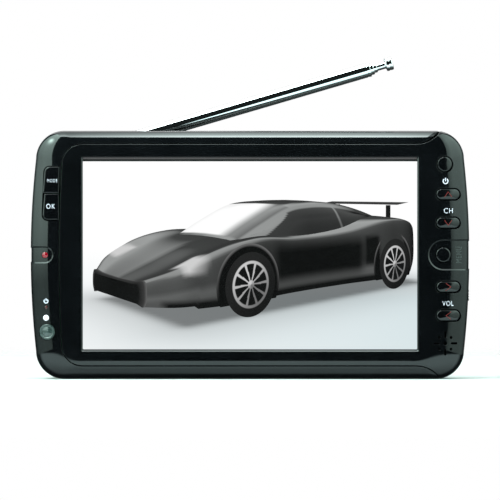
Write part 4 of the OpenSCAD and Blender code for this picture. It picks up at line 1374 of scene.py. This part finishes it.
def make_stand():
    """The fold-out plate with its hinge barrel, heel and grip grooves, and its rubber foot."""
    half, low, hinge_z, pin_y, thick = 32.5, 3.5, 63.0, 13.4, 3.0
    plate = rounded_box(-half, half, low, hinge_z, 1.2, 6, 6)
    edge = 0.4
    rings = []
    for way, y in ((1, -pin_y - thick / 2), (-1, -pin_y + thick / 2)):
        for a in quarter(4)[::-way]:
            rings.append(placed(grown(plate, -edge * (1 - math.cos(a))), y + way * edge * (1 - math.sin(a))))
    body = moved(loft("stand_moulding", rings), "back")
    ends = (-half, -0.3), (-half + 0.3, 0), (half - 0.3, 0), (half, -0.3)
    barrel = drawn("barrel", circle((-pin_y, hinge_z), thick / 2, 40), *ends)
    boolean(body, moved(barrel, "left"), "UNION")
    heel = block("heel", (-12, pin_y - 0.6, hinge_z), (12, pin_y + 0.6, hinge_z + 2.28), 0.5)
    boolean(body, heel, "UNION")
    back_y = -pin_y - thick / 2
    cuts = []
    for row in range(3):
        z = 12 + 3.4 * row
        groove = rounded_box(-14, 14, z, z + 1.4, 0.6, 6, 4)
        cuts.append(moved(mouth("groove", groove, 0.25, back_y + 0.6, back_y), "back"))
    cuts.append(block("notch", (-18.05, 11, 1), (18.05, 16, 7.05), 0.3))
    cut(body, cuts)
    bore = straight("bore", circle((-pin_y, hinge_z), 0.86, 24), -40, 40)
    boolean(body, moved(bore, "left"))
    smooth(body, crease=40)
    piece(body, "stand", REAR, ["stand_plate"])

    pad = rounded_box(-18, 18, low, low + 3.5, 0.6, 5, 2)
    sides = ((-1.5, -0.3), (-1.4, -0.08), (-1.2, 0), (1.2, 0), (1.4, -0.08), (1.5, -0.3))
    foot = drawn("stand_foot", pad, *((y - pin_y, out) for y, out in sides))
    foot = smooth(moved(foot, "back"), crease=40)
    piece(foot, "stand", RUBBER, ["stand_pad"])


def make_switch_knob():
    """A ridged slider in the right side."""
    low, high = box_mm("switch_knob")
    middle = (low + high) / 2
    reach = high - middle
    shape = rounded_box(middle[1] - reach[1], middle[1] + reach[1], low[2], high[2], 0.5, 5, 16)
    rings = [placed(shape, -97.9)]
    for a in quarter(4):
        rings.append(placed(grown(shape, -0.3 * (1 - math.cos(a))), -high[0] + 0.3 * (1 - math.sin(a))))
    knob = moved(loft("switch_slider_knob", rings[::-1]), "right")
    cuts = []
    for row in (-1, 0, 1):
        z = middle[2] + row * 1.2
        groove = rounded_box(-1, 3, z - 0.25, z + 0.25, 0.2, 4, 2)
        cuts.append(moved(mouth("groove", groove, 0.12, -high[0] + 0.3, -high[0], 2), "right"))
    cut(knob, cuts)
    stem = block("stem", (low[0], -0.2, low[2]), (98.0, 2.2, high[2]), 0.2)
    boolean(knob, stem, "UNION")
    smooth(knob, crease=40)
    piece(knob, "switch_slider", DULL, ["switch_knob"])


# ---------- parts that keep their CAD shape ----------

CAD_FINISHES = (
    (SCREW, ("case_screws", "chassis_screws", "board_screws", "aerial_screw", "stand_pin")),
    (CHROME, ("aerial_pin",)),
    (STEEL, ("display_frame", "chassis_plate", "tuner_can", "usb_port", "card_slot", "slide_switch",
             "aerial_washer")),
    (RUBBER, ("display_gasket",)),
    (WHITE, ("backlight_unit", "board_connectors", "key_ribbons")),
    (AMBER, ("display_ribbon",)),
    (BOARD, ("right_key_board", "left_key_board", "main_board")),
    (DULL, ("right_key_switches", "left_key_switches", "remote_receiver", "board_chips",
            "earphone_jack", "dc_jack")),
    (LED, ("indicator_leds",)),
    (CONE, ("speaker",)),
    (CLOTH, ("speaker_cloth",)),
    (LEAD, ("speaker_leads", "battery_leads", "aerial_lead")),
    (BLUE, ("battery_pack",)),
    (YELLOW, ("av_jack",)),
)


def finish_cad_parts():
    for material, nodes in CAD_FINISHES:
        for node in nodes:
            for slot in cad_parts[node].material_slots:
                slot.material = material


# ---------- stage ----------


def directed(m, *ramps):
    """The product of smooth ramps, each (axis, start, end, value at start, value at end)."""
    split = m.add("SeparateXYZ")
    m.join(m.place, split.inputs[0])
    product = None
    for axis, start, end, low, high in ramps:
        ramp = m.ramp(split.outputs[axis], low, high, start, end, "SMOOTHSTEP")
        product = m.math("MULTIPLY", product, ramp) if product else ramp
    return product


def studio_world():
    """White to the camera. To reflections: dark, a little less so behind, over a pale table in front."""
    m = Nodes(bpy.data.worlds.new("studio"))
    bpy.context.scene.world = m.owner
    m.tree.nodes.clear()
    m.place = m.add("TexCoord").outputs["Generated"]
    around = directed(m, ("Y", -0.1, 0.6, 0.014, 0.16), ("Z", -0.03, 0.04, 0.05, 1.0))
    table = directed(m, ("Z", -0.15, -0.20, 0, 1), ("Z", -0.3, -0.85, 2, 1), ("Y", -0.45, 0, 1, 0.03))
    other = m.add("Background", Color=(0.76, 1.0, 0.99, 1))
    m.join(m.math("ADD", around, table), other.inputs["Strength"])
    mix = m.add("MixShader")
    m.join(m.add("LightPath").outputs["Is Camera Ray"], mix.inputs[0])
    m.join(other.outputs[0], mix.inputs[1])
    m.join(m.add("Background", Color=(1, 1, 1, 1)).outputs[0], mix.inputs[2])
    m.join(mix.outputs[0], m.add("OutputWorld").inputs["Surface"])


def diffuser(name, corners, shine, tint=(0.75, 1.0, 0.92)):
    """A glowing sheet that only reflections and lighting see.

    Its corners run round it, and shine gives the radiance at each of an array of points on it.
    """
    count = 60
    s, t = np.meshgrid(np.linspace(0, 1, count + 1), np.linspace(0, 1, count + 1), indexing="ij")
    a, b, c, d = (np.array(corner) for corner in corners)
    s, t = s[..., None], t[..., None]
    points = (a * (1 - s) * (1 - t) + b * s * (1 - t) + c * s * t + d * (1 - s) * t).reshape(-1, 3)
    faces = []
    for i in range(count):
        for j in range(count):
            k = i * (count + 1) + j
            faces.append((k, k + count + 1, k + count + 2, k + 1))
    mesh = bpy.data.meshes.new(name)
    mesh.from_pydata(points.tolist(), [], faces)
    mesh.attributes.new("radiance", "FLOAT", "POINT").data.foreach_set("value", shine(points))
    obj = link(bpy.data.objects.new(name, mesh))
    m = new_material(name)
    glow = m.add("Emission", Color=(*tint, 1))
    m.join(m.add("Attribute", attribute_name="radiance").outputs["Fac"], glow.inputs["Strength"])
    m.join(glow.outputs[0], m.tree.nodes["Material Output"].inputs["Surface"])
    mesh.materials.append(m.owner)
    obj.visible_camera = False
    obj.visible_shadow = False


def steps_of(values, keys):
    """Values read off a broken line through (value, result) keys."""
    return np.interp(values, *np.array(keys, float).T)


STUDIO_W, STUDIO_TOP, STUDIO_LOW = 0.6, 1.5, -0.08


def side_diffuser(side, front_y, heights, depths, spot=0.0):
    """A wall of the soft box that leans back to meet the sheet overhead."""
    x, back_y, top_front_y = side * STUDIO_W, 0.3, -0.54
    corners = [(x, front_y, STUDIO_LOW), (x, back_y, STUDIO_LOW), (x, back_y, STUDIO_TOP),
               (x, top_front_y, STUDIO_TOP)]

    def shine(p):
        lean = (top_front_y - front_y) * (p[:, 2] - STUDIO_LOW) / (STUDIO_TOP - STUDIO_LOW)
        glow = steps_of(p[:, 2], heights) * steps_of(p[:, 1] - front_y - lean, depths)
        off = np.hypot((p[:, 1] + 0.3) / 0.16, (p[:, 2] - 0.7) / 0.12)
        return glow + spot * np.exp(-(off**2))

    diffuser("left_diffuser" if side < 0 else "right_diffuser", corners, shine)


def top_diffuser():
    """The sheet overhead: brightest over the middle, dim over the right-hand end and the back."""
    front_y, back_y = -0.54, 0.85
    corners = [(-STUDIO_W, front_y, STUDIO_TOP), (STUDIO_W, front_y, STUDIO_TOP),
               (STUDIO_W, back_y, STUDIO_TOP), (-STUDIO_W, back_y, STUDIO_TOP)]
    across = [(-0.6, 8.5), (-0.25, 8.5), (-0.16, 7.5), (-0.04, 18), (0.1, 18), (0.17, 12), (0.205, 1.2),
              (0.26, 2.4), (0.6, 2.6)]
    along = [(-0.54, 1.15), (-0.35, 1.0), (-0.05, 0.45), (0.45, 0.22), (0.85, 0.05)]
    diffuser(
        "top_diffuser", corners, lambda p: steps_of(p[:, 0], across) * steps_of(p[:, 1], along),
        (0.85, 1.0, 0.98),
    )


def fill_light():
    """A broad soft lamp behind the top sheet that lights the table and the back of the case."""
    light = bpy.data.lights.new("fill_light", "AREA")
    light.shape, light.size, light.size_y = "RECTANGLE", 1.6, 1.2
    light.energy = 11.0
    obj = link(bpy.data.objects.new("fill_light", light))
    obj.location = (0, 1.3, 1.5)
    obj.rotation_euler = (math.radians(-40), 0, 0)


def make_floor():
    """A pale table top that fades out into the white of the studio."""
    radius = 0.9
    turns = np.linspace(0, 2 * math.pi, 97)[:-1]
    mesh = bpy.data.meshes.new("floor")
    mesh.from_pydata([(radius * math.cos(a), radius * math.sin(a), 0) for a in turns], [], [range(96)])
    obj = link(bpy.data.objects.new("floor", mesh))
    m = new_material("floor")
    m.finish((0.70, 0.70, 0.70), (0.73, 0.73, 0.73), 0.6, 0.7, m.noise(30))
    length = m.add("VectorMath", operation="LENGTH")
    m.join(m.place, length.inputs[0])
    fade = m.ramp(length.outputs["Value"], 1, 0, 0.15, 0.6)
    m.join(fade, m.shader.inputs["Alpha"])
    mesh.materials.append(m.owner)
    obj.visible_glossy = False


def camera():
    """Level with the case and square to its front, from far enough off to flatten it."""
    distance, across, height = 1.9, 0.230, 0.0595
    data = bpy.data.cameras.new("camera")
    data.sensor_width = 36
    data.lens = 36 * distance / across
    data.clip_start, data.clip_end = 0.05, 50
    obj = link(bpy.data.objects.new("camera", data))
    obj.location = (0, FRONT * MM - distance, height)
    obj.rotation_euler = (math.pi / 2, 0, 0)
    bpy.context.scene.camera = obj


make_front()
make_rear()
make_buttons()
make_lenses()
make_remote_window()
make_legends()
make_picture()
make_aerial()
make_swivel()
make_stand()
make_switch_knob()
finish_cad_parts()

studio_world()
side_diffuser(
    -1, -0.925, [(-0.08, 0.8), (0.03, 0.8), (0.06, 2.1), (0.12, 3.0), (0.5, 4.6), (1.5, 8.0)],
    [(0, 1), (0.5, 1.1), (0.85, 0.8), (1.1, 0.15)], 18.0,
)
side_diffuser(
    1, -0.93, [(-0.08, 1.0), (0.03, 1.2), (0.1, 1.7), (0.2, 2.5), (0.7, 3.8), (1.5, 2.6)],
    [(0, 0.5), (0.25, 1), (0.85, 1), (1.1, 0.15)],
)
top_diffuser()
fill_light()
make_floor()
camera()
bpy.context.scene.view_settings.view_transform = "Standard"
